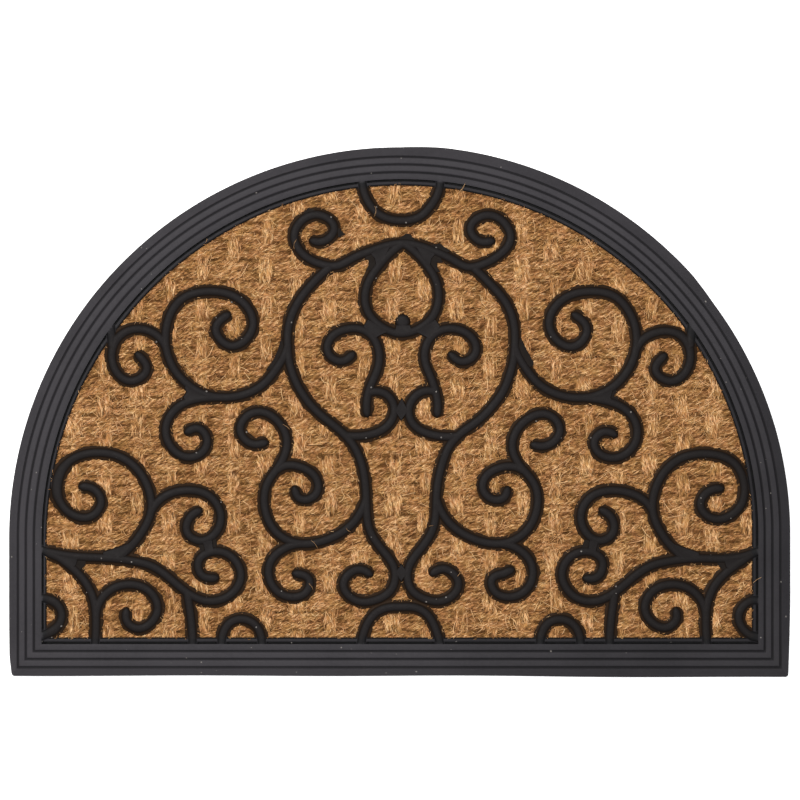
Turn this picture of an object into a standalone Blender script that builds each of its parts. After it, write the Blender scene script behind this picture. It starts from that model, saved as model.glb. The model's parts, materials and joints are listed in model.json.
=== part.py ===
"""Half-round coir doormat: a rubber moulding with scrollwork over a panel of woven coir.

Metres, +Z up. The origin is on the floor under the middle of the mat's bounding box,
+X runs along the straight edge and +Y towards the round edge.
"""
import math

import bmesh
import bpy
import numpy as np
from mathutils import Vector

MM = 0.001

# Overall size
MAT_WIDTH = 600 * MM
MAT_DEPTH = 406 * MM
MAT_THICKNESS = 10 * MM
ARC_SEGMENTS = 54

# Border of parallel ribs
RIB_COUNT = 4
OUTER_RIB = 6.7 * MM
RIB_PITCH = 6.1 * MM
GROOVE_DEPTH = 1.1 * MM
GROOVE_HALF_WIDTH = 0.8 * MM
EDGE_HEIGHT = 3.2 * MM
EDGE_SHOULDER = (2.2 * MM, 8.0 * MM)
INNER_STEP = 0.8 * MM
LEDGE_WIDTH = 4.1 * MM
LEDGE_TOP = 8.3 * MM
LEDGE_UNDERSIDE = 7.5 * MM

# Backing skin and the slot that holds the coir
SKIN_THICKNESS = 2.0 * MM
SLOT_INSET = 22.0 * MM
PIECE_GAP = 0.3 * MM

# Scroll bars
BAR_FOOT_WIDTH = 10.0 * MM
BAR_TOP_WIDTH = 4.6 * MM
BAR_UNDERSIDE = 7.4 * MM
BAR_TOP = 9.7 * MM
BAR_CHORD_ERROR = 0.3 * MM
BAR_LONGEST_STEP = 14 * MM
# Rounded tip of a bar, columns: reach past the last way point, section scale there
TIP_STATIONS = ((0.50, 0.87), (0.85, 0.53), (0.97, 0.25))
TIP_LEAST_HEIGHT = 0.4
BEAD_CENTRE_Y = 69 * MM
BEAD_RADIUS = 5.6 * MM
BEAD_SEGMENTS = 16
# Dome of the bead, columns: share of its radius, share of its height
BEAD_PROFILE = ((1.0, 0.0), (0.92, 0.45), (0.62, 0.88), (0.25, 1.0))

# Weave of the coir panel
WEAVE_COLUMN = 24.7 * MM
WEAVE_ROW = 15.0 * MM
FLOAT_WIDTH = 12.4 * MM
FLOAT_CREST = 8.0 * MM
FLOAT_OFFSET = (-5.5 * MM, -11.5 * MM)
COIR_LOW = 5.9 * MM
COIR_HIGH = 7.1 * MM
COIR_LIP = 6.9 * MM
COIR_RIM = 6.3 * MM
COIR_RIM_SLOPE = 1.5 * MM
FLAT_MARGIN = 1.0 * MM
SNAP = 0.01 * MM

RIBS_WIDTH = OUTER_RIB + (RIB_COUNT - 1) * RIB_PITCH

# Centre lines of the scrollwork's left half, in millimetres from the middle of the mat, as way
# points for a smooth curve: one at each bend's side, top or foot. The right half mirrors it.
# Columns: name, whether it runs on through the mirror axis, first end free, last end free, way points
SCROLLWORK = (
    ("crown", True, True, True, (
        (-65.5, 131.5), (-57.5, 132.5), (-51.5, 140.5), (-64, 151.5), (-82, 136.5), (-74.5, 122),
        (-60, 114), (-51.5, 113), (-39.5, 118), (-23, 124), (0, 129.5))),
    ("heart", True, False, False, (
        (-7.5, 126.5), (-17.5, 114), (-25, 102), (-27.5, 89), (-24.5, 75.5), (-15.5, 65.5), (0, 60))),
    ("great circle", False, False, True, (
        (-55, 112), (-67, 101), (-79, 87.5), (-86.5, 69), (-87, 47), (-81, 24), (-67, 5),
        (-51.5, -9.5), (-37.5, -24.5), (-29.5, -43.5), (-27, -64.5), (-24, -88.5), (-14, -106.5),
        (-5, -123), (-7.5, -137), (-20, -145), (-35.5, -144.5), (-44.5, -132), (-34.5, -121.5),
        (-26, -123.5))),
    ("shoulder", False, False, True, (
        (-87, 52), (-94, 34), (-108, 19.5), (-133, 11), (-162.5, 18.5), (-178, 38.5),
        (-181, 63.5), (-169.5, 86), (-147, 92.5), (-123, 85), (-114, 68), (-121.5, 53.5),
        (-133, 50), (-143, 61), (-135.5, 73))),
    ("far curl", False, False, True, (
        (-180.5, 47), (-188, 58.5), (-201, 63.5), (-215.5, 59), (-222.5, 46.5), (-219.5, 31),
        (-208, 23.5), (-196.5, 30.5), (-201, 42))),
    ("far stub", False, False, False, ((-223, 67), (-222.5, 50))),
    ("arm", False, False, True, (
        (-136.5, 11), (-152.5, 10), (-168.5, 5), (-180, -6.5), (-181, -23), (-169.5, -34.5),
        (-155, -32.5), (-149.5, -22), (-155, -13.5), (-163, -14.5))),
    ("double scroll", False, True, False, (
        (-106.5, -25), (-117.5, -23.5), (-124, -14), (-119.5, -4), (-109.5, 0), (-95.5, -6.5),
        (-87.5, -23), (-93, -40), (-103.5, -55.5), (-105, -74.5), (-96.5, -92), (-78, -100.5),
        (-54.5, -97), (-37.5, -86), (-27, -67))),
    ("inner curl", False, False, True, (
        (-96, -45), (-88.5, -41.5), (-77, -43), (-66.5, -50.5), (-64.5, -60.5), (-71, -68),
        (-79, -67.5), (-82.5, -62.5))),
    ("foot curl", False, False, True, (
        (-77, -100.7), (-91, -103.5), (-100.5, -112), (-102.5, -124.5), (-96, -137), (-84.5, -142),
        (-73, -138), (-70.5, -130), (-79.5, -124))),
    ("heart post", False, True, True, (
        (-39, 42.5), (-47.5, 39), (-56, 45), (-54.5, 57), (-41, 65), (-27, 62), (-18, 49.5),
        (-18, 33.5), (-24.5, 17), (-26.5, 0.5))),
    ("knot loop", False, False, False, (
        (-24, 14.5), (-15.5, 14), (-8, 8), (-5.5, -0.5), (-10, -10.5), (-22, -17), (-42.5, -18))),
    ("top arch", True, False, False, ((-30, 179), (-26, 162.5), (-16, 151), (0, 147))),
    ("bottom arch", True, False, False, (
        (-31.5, -180.5), (-28.5, -168.5), (-21, -156), (-11, -151), (0, -150.5))),
    ("corner volute", False, True, False, (
        (-243.5, -57.5), (-235, -60.5), (-230, -70), (-237.5, -80), (-250.5, -80), (-262, -70),
        (-264, -54.5), (-256.5, -39), (-236.5, -31.5), (-213.5, -36), (-198, -52), (-193.5, -73.5),
        (-201.5, -94.5), (-218.5, -112.5))),
    ("stem", False, False, True, (
        (-277.5, -105), (-255, -110.5), (-228, -112), (-205, -115), (-184, -123.5), (-168.5, -136),
        (-151, -145), (-132.5, -141), (-123.5, -126), (-130.5, -111.5), (-145, -107.5),
        (-156.5, -115.5), (-154.5, -125.5), (-145.5, -128.5))),
    ("stem post", False, False, False, ((-165, -139), (-162, -157.5), (-160.5, -180.5))),
    ("branch", False, False, True, (
        (-194, -76), (-185.5, -65), (-167, -60), (-148.5, -65), (-139, -80), (-143, -93),
        (-154.5, -99), (-165, -92), (-164, -82.5), (-158, -77))),
    ("curl link", False, False, False, ((-151.5, -98.5), (-147, -108))),
    ("corner post", False, False, False, (
        (-272, -107), (-256.5, -117), (-244, -129.5), (-236.5, -145.5), (-235, -160.5), (-236, -180.5))),
    ("corner curl", False, False, True, (
        (-235, -157.5), (-231.5, -144.5), (-222, -135.5), (-207, -132.5), (-192.5, -139),
        (-187.5, -150.5), (-193.5, -162.5), (-203.5, -166), (-211, -161), (-212, -155))),
    ("side ring", False, False, False, (
        (-277.5, -143.5), (-270.5, -143.5), (-261.5, -154.5), (-267, -167.5), (-277.5, -171.5))),
    ("foot arch", False, False, False, (
        (-138.5, -180.5), (-135.5, -166.5), (-123, -158.5), (-110, -166.5), (-107, -180.5))),
)

# Joints on the mirror axis, where a bar meets its mirror image over a short length, in millimetres
# Columns: name, upper end, lower end
AXIS_KNOTS = (
    ("upper knot", 4, -2.5),
    ("lower knot", -122.5, -126.5),
)

# Colours (linear RGB), roughness
RUBBER_FINISH = ((0.040, 0.037, 0.041, 1.0), 0.62)
COIR_FINISH = ((0.350, 0.178, 0.064, 1.0), 0.95)

# Steepest turn between two faces that is still shaded smooth
RUBBER_SMOOTH_ANGLE = math.radians(30)
COIR_SMOOTH_ANGLE = math.radians(40)


def clear_scene():
    for obj in list(bpy.data.objects):
        bpy.data.objects.remove(obj, do_unlink=True)


def make_material(name, finish):
    colour, roughness = finish
    material = bpy.data.materials.new(name)
    material.use_nodes = True
    shader = material.node_tree.nodes["Principled BSDF"]
    shader.inputs["Base Color"].default_value = colour
    shader.inputs["Roughness"].default_value = roughness
    shader.inputs["Metallic"].default_value = 0.0
    return material


def add_object(name, bm, material=None):
    bmesh.ops.recalc_face_normals(bm, faces=bm.faces)
    mesh = bpy.data.meshes.new(name)
    bm.to_mesh(mesh)
    bm.free()
    obj = bpy.data.objects.new(name, mesh)
    bpy.context.scene.collection.objects.link(obj)
    if material:
        mesh.materials.append(material)
    return obj


def shade_smooth(obj, angle):
    obj.data.shade_smooth()
    obj.data.set_sharp_from_angle(angle=angle)


def outline(inset):
    """The mat's outline drawn in by inset: half circle, straight sides, mitred lower corners."""
    radius = MAT_WIDTH / 2 - inset
    centre_y = MAT_DEPTH / 2 - MAT_WIDTH / 2
    foot_y = inset - MAT_DEPTH / 2
    points = []
    for step in range(ARC_SEGMENTS + 1):
        angle = math.pi * step / ARC_SEGMENTS
        points.append((radius * math.cos(angle), centre_y + radius * math.sin(angle)))
    points.append((-radius, foot_y))
    points.append((radius, foot_y))
    return points


def loft(bm, rings):
    """Closed body through rings of equal length, with a flat face on the first and last ring."""
    loops = [[bm.verts.new(point) for point in ring] for ring in rings]
    for lower, upper in zip(loops, loops[1:]):
        for i in range(len(lower)):
            k = (i + 1) % len(lower)
            bm.faces.new((lower[i], lower[k], upper[k], upper[i]))
    bm.faces.new(reversed(loops[0]))
    bm.faces.new(loops[-1])


def tray_profile():
    """(inset, height) from the outer foot over the ribs, across the ledge and into the coir slot."""
    top = MAT_THICKNESS
    profile = [(0.0, 0.0), (0.0, EDGE_HEIGHT), EDGE_SHOULDER]
    for rib in range(RIB_COUNT - 1):
        groove = OUTER_RIB + rib * RIB_PITCH
        profile.append((groove - GROOVE_HALF_WIDTH, top))
        profile.append((groove, top - GROOVE_DEPTH))
        profile.append((groove + GROOVE_HALF_WIDTH, top))
    profile.append((RIBS_WIDTH - INNER_STEP / 2, top))
    profile.append((RIBS_WIDTH + INNER_STEP / 2, LEDGE_TOP))
    profile.append((RIBS_WIDTH + LEDGE_WIDTH, LEDGE_TOP))
    profile.append((RIBS_WIDTH + LEDGE_WIDTH, LEDGE_UNDERSIDE))
    profile.append((SLOT_INSET, LEDGE_UNDERSIDE))
    profile.append((SLOT_INSET, SKIN_THICKNESS))
    return profile


def smooth_curve(way_points):
    """Cubic spline through the way points: (place, heading, curvature) by way along it, and its length."""
    points = np.array(way_points, float) * MM
    if len(points) == 2:
        points = np.array([points[0], points.mean(axis=0), points[1]])
    count = len(points)
    span = np.linalg.norm(np.diff(points, axis=0), axis=1)
    knots = np.concatenate([[0.0], np.cumsum(span)])
    system = np.zeros((count, count))
    right_side = np.zeros((count, 2))
    for i in range(1, count - 1):
        system[i, i - 1:i + 2] = span[i - 1], 2 * (span[i - 1] + span[i]), span[i]
        slope_after = (points[i + 1] - points[i]) / span[i]
        slope_before = (points[i] - points[i - 1]) / span[i - 1]
        right_side[i] = 6 * (slope_after - slope_before)
    # The end stretches keep the bend of the points beside them
    system[0, :2] = 1, -1
    system[-1, -2:] = -1, 1
    bend = np.linalg.solve(system, right_side)

    def curve(way):
        i = int(np.clip(np.searchsorted(knots, way) - 1, 0, count - 2))
        h = span[i]
        after = way - knots[i]
        before = knots[i + 1] - way
        place = (bend[i] * before ** 3 + bend[i + 1] * after ** 3) / (6 * h)
        place += (points[i] / h - bend[i] * h / 6) * before
        place += (points[i + 1] / h - bend[i + 1] * h / 6) * after
        slope = (bend[i + 1] * after ** 2 - bend[i] * before ** 2) / (2 * h)
        slope += (points[i + 1] - points[i]) / h - (bend[i + 1] - bend[i]) * h / 6
        turn = (bend[i] * before + bend[i + 1] * after) / h
        curvature = abs(slope[0] * turn[1] - slope[1] * turn[0]) / np.linalg.norm(slope) ** 3
        return Vector(place), Vector(slope).normalized(), curvature

    return curve, knots[-1]


def bar_stations(way_points, first_free, last_free):
    """(centre, heading, section scale) along a bar, closer together where it bends more."""
    curve, length = smooth_curve(way_points)
    foot = BAR_FOOT_WIDTH / 2
    ways = [0.0]
    while ways[-1] < length:
        curvature = max(curve(ways[-1])[2], 1e-6)
        ways.append(ways[-1] + min(BAR_LONGEST_STEP, math.sqrt(8 * BAR_CHORD_ERROR / curvature)))
    ways = [way * length / ways[-1] for way in ways]
    stations = [(curve(way)[0], curve(way)[1], 1.0) for way in ways]
    if first_free:
        centre, heading, _ = stations[0]
        nose = [(centre - heading * foot * reach, heading, scale) for reach, scale in TIP_STATIONS]
        stations = nose[::-1] + stations
    if last_free:
        centre, heading, _ = stations[-1]
        stations += [(centre + heading * foot * reach, heading, scale) for reach, scale in TIP_STATIONS]
    return stations


def bar_section(centre, heading, scale):
    """Four-sided ridge across the bar; scale draws it in towards a rounded tip."""
    side = Vector((-heading.y, heading.x))
    foot = side * BAR_FOOT_WIDTH / 2 * scale
    crest = side * BAR_TOP_WIDTH / 2 * scale
    height_share = TIP_LEAST_HEIGHT + (1 - TIP_LEAST_HEIGHT) * scale
    top = BAR_UNDERSIDE + (BAR_TOP - BAR_UNDERSIDE) * height_share
    corners = ((centre - foot, BAR_UNDERSIDE), (centre + foot, BAR_UNDERSIDE), (centre + crest, top),
               (centre - crest, top))
    return [(place.x, place.y, height) for place, height in corners]


def add_guide(name, bm, collection):
    obj = add_object(name, bm)
    bpy.context.scene.collection.objects.unlink(obj)
    collection.objects.link(obj)
    obj.hide_render = True
    obj.display_type = 'WIRE'
    return obj


def add_bar(name, way_points, first_free, last_free, collection):
    bm = bmesh.new()
    loft(bm, [bar_section(*station) for station in bar_stations(way_points, first_free, last_free)])
    add_guide(f"guide {name}", bm, collection)


def build_scroll_bars(collection):
    for name, through_axis, first_free, last_free, points in SCROLLWORK:
        if through_axis:
            halves = [points + tuple((-x, y) for x, y in points[-2::-1])]
        else:
            halves = [points, tuple((-x, y) for x, y in points)]
        for side, way_points in enumerate(halves):
            add_bar(f"{name} {side}", way_points, first_free, last_free, collection)
    for name, upper, lower in AXIS_KNOTS:
        add_bar(name, ((0, upper), (0, lower)), True, True, collection)


def build_bead(collection):
    """Small dome that sits on the heart's lowest point."""
    bm = bmesh.new()
    rings = []
    for radius_share, height_share in BEAD_PROFILE:
        radius = BEAD_RADIUS * radius_share
        height = BAR_UNDERSIDE + (BAR_TOP - BAR_UNDERSIDE) * height_share
        angles = [2 * math.pi * (step + 0.5) / BEAD_SEGMENTS for step in range(BEAD_SEGMENTS)]
        rings.append([(radius * math.cos(a), BEAD_CENTRE_Y + radius * math.sin(a), height) for a in angles])
    loft(bm, rings)
    add_guide("guide bead", bm, collection)


def build_rubber_moulding():
    bm = bmesh.new()
    loft(bm, [[(x, y, height) for x, y in outline(inset)] for inset, height in tray_profile()])
    moulding = add_object("rubber_moulding", bm, make_material("rubber", RUBBER_FINISH))
    bars = bpy.data.collections.new("scroll bars")
    bpy.context.scene.collection.children.link(bars)
    build_scroll_bars(bars)
    build_bead(bars)
    union = moulding.modifiers.new("scrollwork", 'BOOLEAN')
    union.operation = 'UNION'
    union.operand_type = 'COLLECTION'
    union.collection = bars
    shade_smooth(moulding, RUBBER_SMOOTH_ANGLE)


def weave_cuts(axis, pitch, width, offset, half_span):
    """Cut planes at both sides of each float along one axis, as (point, normal)."""
    reach = int(half_span / pitch) + 2
    cuts = []
    for number in range(-reach, reach + 1):
        for side in (-1, 1):
            cuts.append((axis * (number * pitch + offset + side * width / 2), axis))
    return cuts


def inside(point, inset):
    """Whether a point lies within the outline drawn in by inset."""
    radius = MAT_WIDTH / 2 - inset
    centre_y = MAT_DEPTH / 2 - MAT_WIDTH / 2
    if point.y < inset - MAT_DEPTH / 2 or abs(point.x) > radius:
        return False
    return point.y < centre_y or math.hypot(point.x, point.y - centre_y) < radius


def on_top(point, inset):
    return point.z > COIR_LIP - SNAP and inside(point, inset)


def float_number(value, pitch, offset):
    return round((value - offset) / pitch)


def build_coir_field():
    """Woven panel: a flat lip under the ledge, then floats raised in a chequer."""
    rim = SLOT_INSET + PIECE_GAP
    field = RIBS_WIDTH + LEDGE_WIDTH
    base = SKIN_THICKNESS + PIECE_GAP
    bm = bmesh.new()
    loft(bm, [[(x, y, base) for x, y in outline(rim)],
              [(x, y, COIR_RIM) for x, y in outline(rim)],
              [(x, y, COIR_LIP) for x, y in outline(rim + COIR_RIM_SLOPE)],
              [(x, y, COIR_LIP) for x, y in outline(field)]])
    cuts = weave_cuts(Vector((1, 0, 0)), WEAVE_COLUMN, FLOAT_WIDTH, FLOAT_OFFSET[0], MAT_WIDTH / 2)
    cuts += weave_cuts(Vector((0, 1, 0)), WEAVE_ROW, FLOAT_CREST, FLOAT_OFFSET[1], MAT_DEPTH / 2)
    for point, normal in cuts:
        faces = [face for face in bm.faces if all(on_top(vert.co, field - SNAP) for vert in face.verts)]
        edges = {edge for face in faces for edge in face.edges}
        verts = {vert for face in faces for vert in face.verts}
        bmesh.ops.bisect_plane(bm, geom=faces + list(edges) + list(verts), dist=1e-7,
                               plane_co=point, plane_no=normal)
    for vert in bm.verts:
        if on_top(vert.co, field + FLAT_MARGIN):
            column = float_number(vert.co.x, WEAVE_COLUMN, FLOAT_OFFSET[0])
            row = float_number(vert.co.y, WEAVE_ROW, FLOAT_OFFSET[1])
            vert.co.z = COIR_HIGH if (column + row) % 2 == 0 else COIR_LOW
    panel = add_object("coir_field", bm, make_material("coir", COIR_FINISH))
    shade_smooth(panel, COIR_SMOOTH_ANGLE)


def main():
    clear_scene()
    build_rubber_moulding()
    build_coir_field()


main()
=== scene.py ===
import json
import math

import bmesh
import bpy
import numpy as np
from bpy.props import FloatProperty, FloatVectorProperty, IntProperty, PointerProperty
from mathutils import Matrix, Vector, noise

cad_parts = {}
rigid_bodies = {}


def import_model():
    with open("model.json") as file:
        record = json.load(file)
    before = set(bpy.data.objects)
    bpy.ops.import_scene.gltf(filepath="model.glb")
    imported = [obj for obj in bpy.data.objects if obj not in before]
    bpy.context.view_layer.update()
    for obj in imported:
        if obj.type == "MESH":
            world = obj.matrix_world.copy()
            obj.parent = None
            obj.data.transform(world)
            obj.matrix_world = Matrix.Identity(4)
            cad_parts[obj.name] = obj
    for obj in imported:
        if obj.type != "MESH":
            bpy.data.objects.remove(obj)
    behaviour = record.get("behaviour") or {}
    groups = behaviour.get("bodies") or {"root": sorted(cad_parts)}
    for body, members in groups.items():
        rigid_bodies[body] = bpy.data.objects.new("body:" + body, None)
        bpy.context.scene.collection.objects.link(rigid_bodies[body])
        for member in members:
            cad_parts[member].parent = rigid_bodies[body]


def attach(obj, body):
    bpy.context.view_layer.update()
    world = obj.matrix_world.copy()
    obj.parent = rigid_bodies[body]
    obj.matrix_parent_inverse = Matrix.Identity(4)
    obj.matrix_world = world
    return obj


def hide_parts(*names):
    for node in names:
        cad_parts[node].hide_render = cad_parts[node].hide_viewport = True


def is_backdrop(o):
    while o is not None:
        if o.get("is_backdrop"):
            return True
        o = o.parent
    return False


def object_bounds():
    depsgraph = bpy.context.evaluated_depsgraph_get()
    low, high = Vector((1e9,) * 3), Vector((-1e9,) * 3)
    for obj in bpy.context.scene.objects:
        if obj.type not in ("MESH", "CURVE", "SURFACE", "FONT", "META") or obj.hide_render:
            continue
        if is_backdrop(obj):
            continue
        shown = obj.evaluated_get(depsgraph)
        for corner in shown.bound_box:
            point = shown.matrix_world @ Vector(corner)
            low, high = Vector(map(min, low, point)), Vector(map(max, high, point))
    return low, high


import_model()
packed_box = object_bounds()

bl_info = {
    "name": "Half-round coir doormat",
    "version": (1, 0, 0),
    "blender": (4, 5, 0),
    "location": "3D View > Sidebar > Doormat",
    "description": "Dresses the packed doormat: moulded rubber, woven coir and its fibres, and a stage",
    "category": "Add Mesh",
}

MM = 0.001
MAT_WIDTH, MAT_DEPTH, MAT_THICKNESS = packed_box[1] - packed_box[0]
# The outline is an arc of this radius about (0, ARC_Y), on straight sides
RADIUS = MAT_WIDTH / 2
ARC_Y = MAT_DEPTH / 2 - RADIUS

# Centre lines of the scrollwork's left half, in millimetres from the middle of the mat, charted as
# way points for a smooth curve. The right half mirrors it.
# Columns: name, whether it runs on through the mirror axis, first end free, last end free, way points
# A bar that runs through and starts right of the axis is there once, not mirrored
SCROLLWORK = (
    ("crown", True, True, True, (
        (-65.5, 131.5), (-57.5, 132.5), (-51.5, 140.5), (-64, 151.5), (-82, 136.5), (-74.5, 122),
        (-60, 114), (-51.5, 113), (-39.5, 118), (-23, 124), (0, 129.5))),
    ("heart", True, False, False, (
        (-0.6, 129.2), (-7.5, 124), (-17.5, 113), (-25, 101), (-27.5, 89), (-24.5, 75.5), (-15.5, 65.5),
        (0, 60))),
    ("great circle", False, False, True, (
        (-55, 112), (-67, 101), (-79, 87.5), (-86.5, 69), (-87, 47), (-81, 24), (-67, 5),
        (-51.5, -9.5), (-37.5, -24.5), (-29.5, -43.5), (-27, -64.5), (-24, -88.5), (-14, -106.5),
        (-5, -123), (-7.5, -137), (-20, -145), (-35.5, -144.5), (-44.5, -132), (-34.5, -121.5),
        (-26, -123.5))),
    ("shoulder", False, False, True, (
        (-87, 52), (-94, 34), (-108, 19.5), (-133, 11), (-162.5, 18.5), (-178, 38.5),
        (-181, 63.5), (-169.5, 86), (-147, 92.5), (-123, 85), (-114, 68), (-121.5, 53.5),
        (-133, 50), (-143, 61), (-135.5, 73))),
    ("far curl", False, False, True, (
        (-180.5, 47), (-188, 58.5), (-201, 63.5), (-215.5, 59), (-222.5, 46.5), (-219.5, 31),
        (-208, 23.5), (-196.5, 30.5), (-201, 42))),
    ("far stub", False, False, False, ((-223.2, 67), (-222.4, 50))),
    ("arm", False, False, True, (
        (-136.5, 11), (-152.5, 10), (-168.5, 5), (-180, -6.5), (-181, -23), (-169.5, -34.5),
        (-155, -32.5), (-149.5, -22), (-155, -13.5), (-163, -14.5))),
    ("double scroll", False, True, False, (
        (-106.5, -25), (-117.5, -23.5), (-124, -14), (-119.5, -4), (-109.5, 0), (-95.5, -6.5),
        (-87.5, -23), (-93, -40), (-103.5, -55.5), (-105, -74.5), (-96.5, -92), (-78, -100.5),
        (-54.5, -97), (-37.5, -86), (-27, -67))),
    ("inner curl", False, False, True, (
        (-96, -45), (-88.5, -41.5), (-77, -43), (-66.5, -50.5), (-64.5, -60.5), (-71, -68),
        (-79, -67.5), (-82.5, -62.5))),
    ("foot curl", False, False, True, (
        (-77, -100.7), (-91, -103.5), (-100.5, -112), (-102.5, -124.5), (-96, -137), (-84.5, -142),
        (-73, -138), (-70.5, -130), (-79.5, -124))),
    ("heart post", False, True, True, (
        (-39, 42.5), (-47.5, 39), (-56, 45), (-54.5, 57), (-41, 65), (-27, 62), (-18, 49.5),
        (-18, 33.5), (-24.5, 17), (-26.5, 0.5))),
    ("knot loop", False, False, False, (
        (-24, 14.5), (-15.5, 14), (-8, 8), (-5.5, -0.5), (-10, -10.5), (-22, -17), (-42.5, -18))),
    ("top arch", True, False, False, ((-30, 179), (-26, 162.5), (-16, 151), (0, 147))),
    ("bottom arch", True, False, False, (
        (-31.5, -180.5), (-28.5, -168.5), (-21, -156), (-11, -151), (0, -150.5))),
    ("corner volute", False, True, False, (
        (-243.5, -57.5), (-235, -60.5), (-230, -70), (-237.5, -80), (-250.5, -80), (-262, -70),
        (-264, -54.5), (-256.5, -39), (-236.5, -31.5), (-213.5, -36), (-198, -52), (-193.5, -73.5),
        (-201.5, -94.5), (-218.5, -112.5))),
    ("stem", False, False, True, (
        (-277.5, -105), (-255, -110.5), (-228, -112), (-205, -115), (-184, -123.5), (-168.5, -136),
        (-151, -145), (-132.5, -141), (-123.5, -126), (-130.5, -111.5), (-145, -107.5),
        (-156.5, -115.5), (-154.5, -125.5), (-145.5, -128.5))),
    ("stem post", False, False, False, ((-165, -139), (-162, -157.5), (-160.5, -180.5))),
    ("branch", False, False, True, (
        (-194, -76), (-185.5, -65), (-167, -60), (-148.5, -65), (-139, -80), (-143, -93),
        (-154.5, -99), (-165, -92), (-164, -82.5), (-158, -77))),
    ("corner post", False, False, False, (
        (-272, -107), (-256.5, -117), (-244, -129.5), (-236.5, -145.5), (-235, -160.5), (-236, -180.5))),
    ("corner curl", False, False, True, (
        (-235, -157.5), (-231.5, -144.5), (-222, -135.5), (-207, -132.5), (-192.5, -139),
        (-187.5, -150.5), (-193.5, -162.5), (-203.5, -166), (-211, -161), (-212, -155))),
    ("side ring", False, False, False, (
        (-277.5, -143.5), (-270.5, -143.5), (-261.5, -154.5), (-267, -167.5), (-277.5, -171.5))),
    ("foot arch", False, False, False, (
        (-138, -180.5), (-136.5, -168), (-131, -160.8), (-123, -158.2), (-114.5, -160.8), (-109, -168),
        (-107.5, -180.5))),
    ("right foot tip", True, False, True, ((79, -124), (84, -121.7))),
)

# Webs of rubber that fill the corners where bars meet, in millimetres
# Columns: name, whether the right half has one too, corners
WEBS = (
    ("upper knot", False, ((0, 9.5), (6, 0), (0, -8), (-6, 0))),
    ("lower knot", False, ((0, -117), (5.5, -124.5), (0, -132), (-5.5, -124.5))),
    ("heart", True, (
        (-25, 121.6), (-20, 125), (-9, 127.5), (-14, 117), (-19.6, 110.5), (-21.2, 114), (-21.9, 117.5))),
    ("heart foot", True, (
        (-30, 66), (-25.5, 72), (-15.5, 65.5), (-10, 61), (-16.5, 57.5), (-20.5, 55), (-27, 62))),
    ("bead", False, ((-4.5, 67), (6.8, 67), (8.5, 60), (-6, 60))),
    ("left shoulder", False, (
        (-150, 10.5), (-166, 6), (-168.5, 10.2), (-165.8, 13.8), (-167.5, 18), (-164, 20.4), (-150, 12.5))),
    ("right shoulder", False, (
        (150, 10.5), (163.5, 7), (162.4, 11), (163.6, 15), (162.5, 18.5), (150, 12.5))),
    ("stem", True, (
        (-268, -107), (-252, -110.8), (-248.5, -111.5), (-249, -116.5), (-251.5, -120), (-256.5, -117),
        (-268, -109.8))),
    ("volute", True, (
        (-230, -107), (-218.5, -103.4), (-211, -100.6), (-207, -97.5), (-203, -99.5), (-212, -111.5),
        (-230, -112))),
    ("curls", True, ((-153.5, -99), (-145, -98), (-144, -108.5), (-151.5, -108.5))),
)
# Width and rise of the slope round a web's top, in millimetres
WEB_FLANK = (1.1, 1.85)

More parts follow.
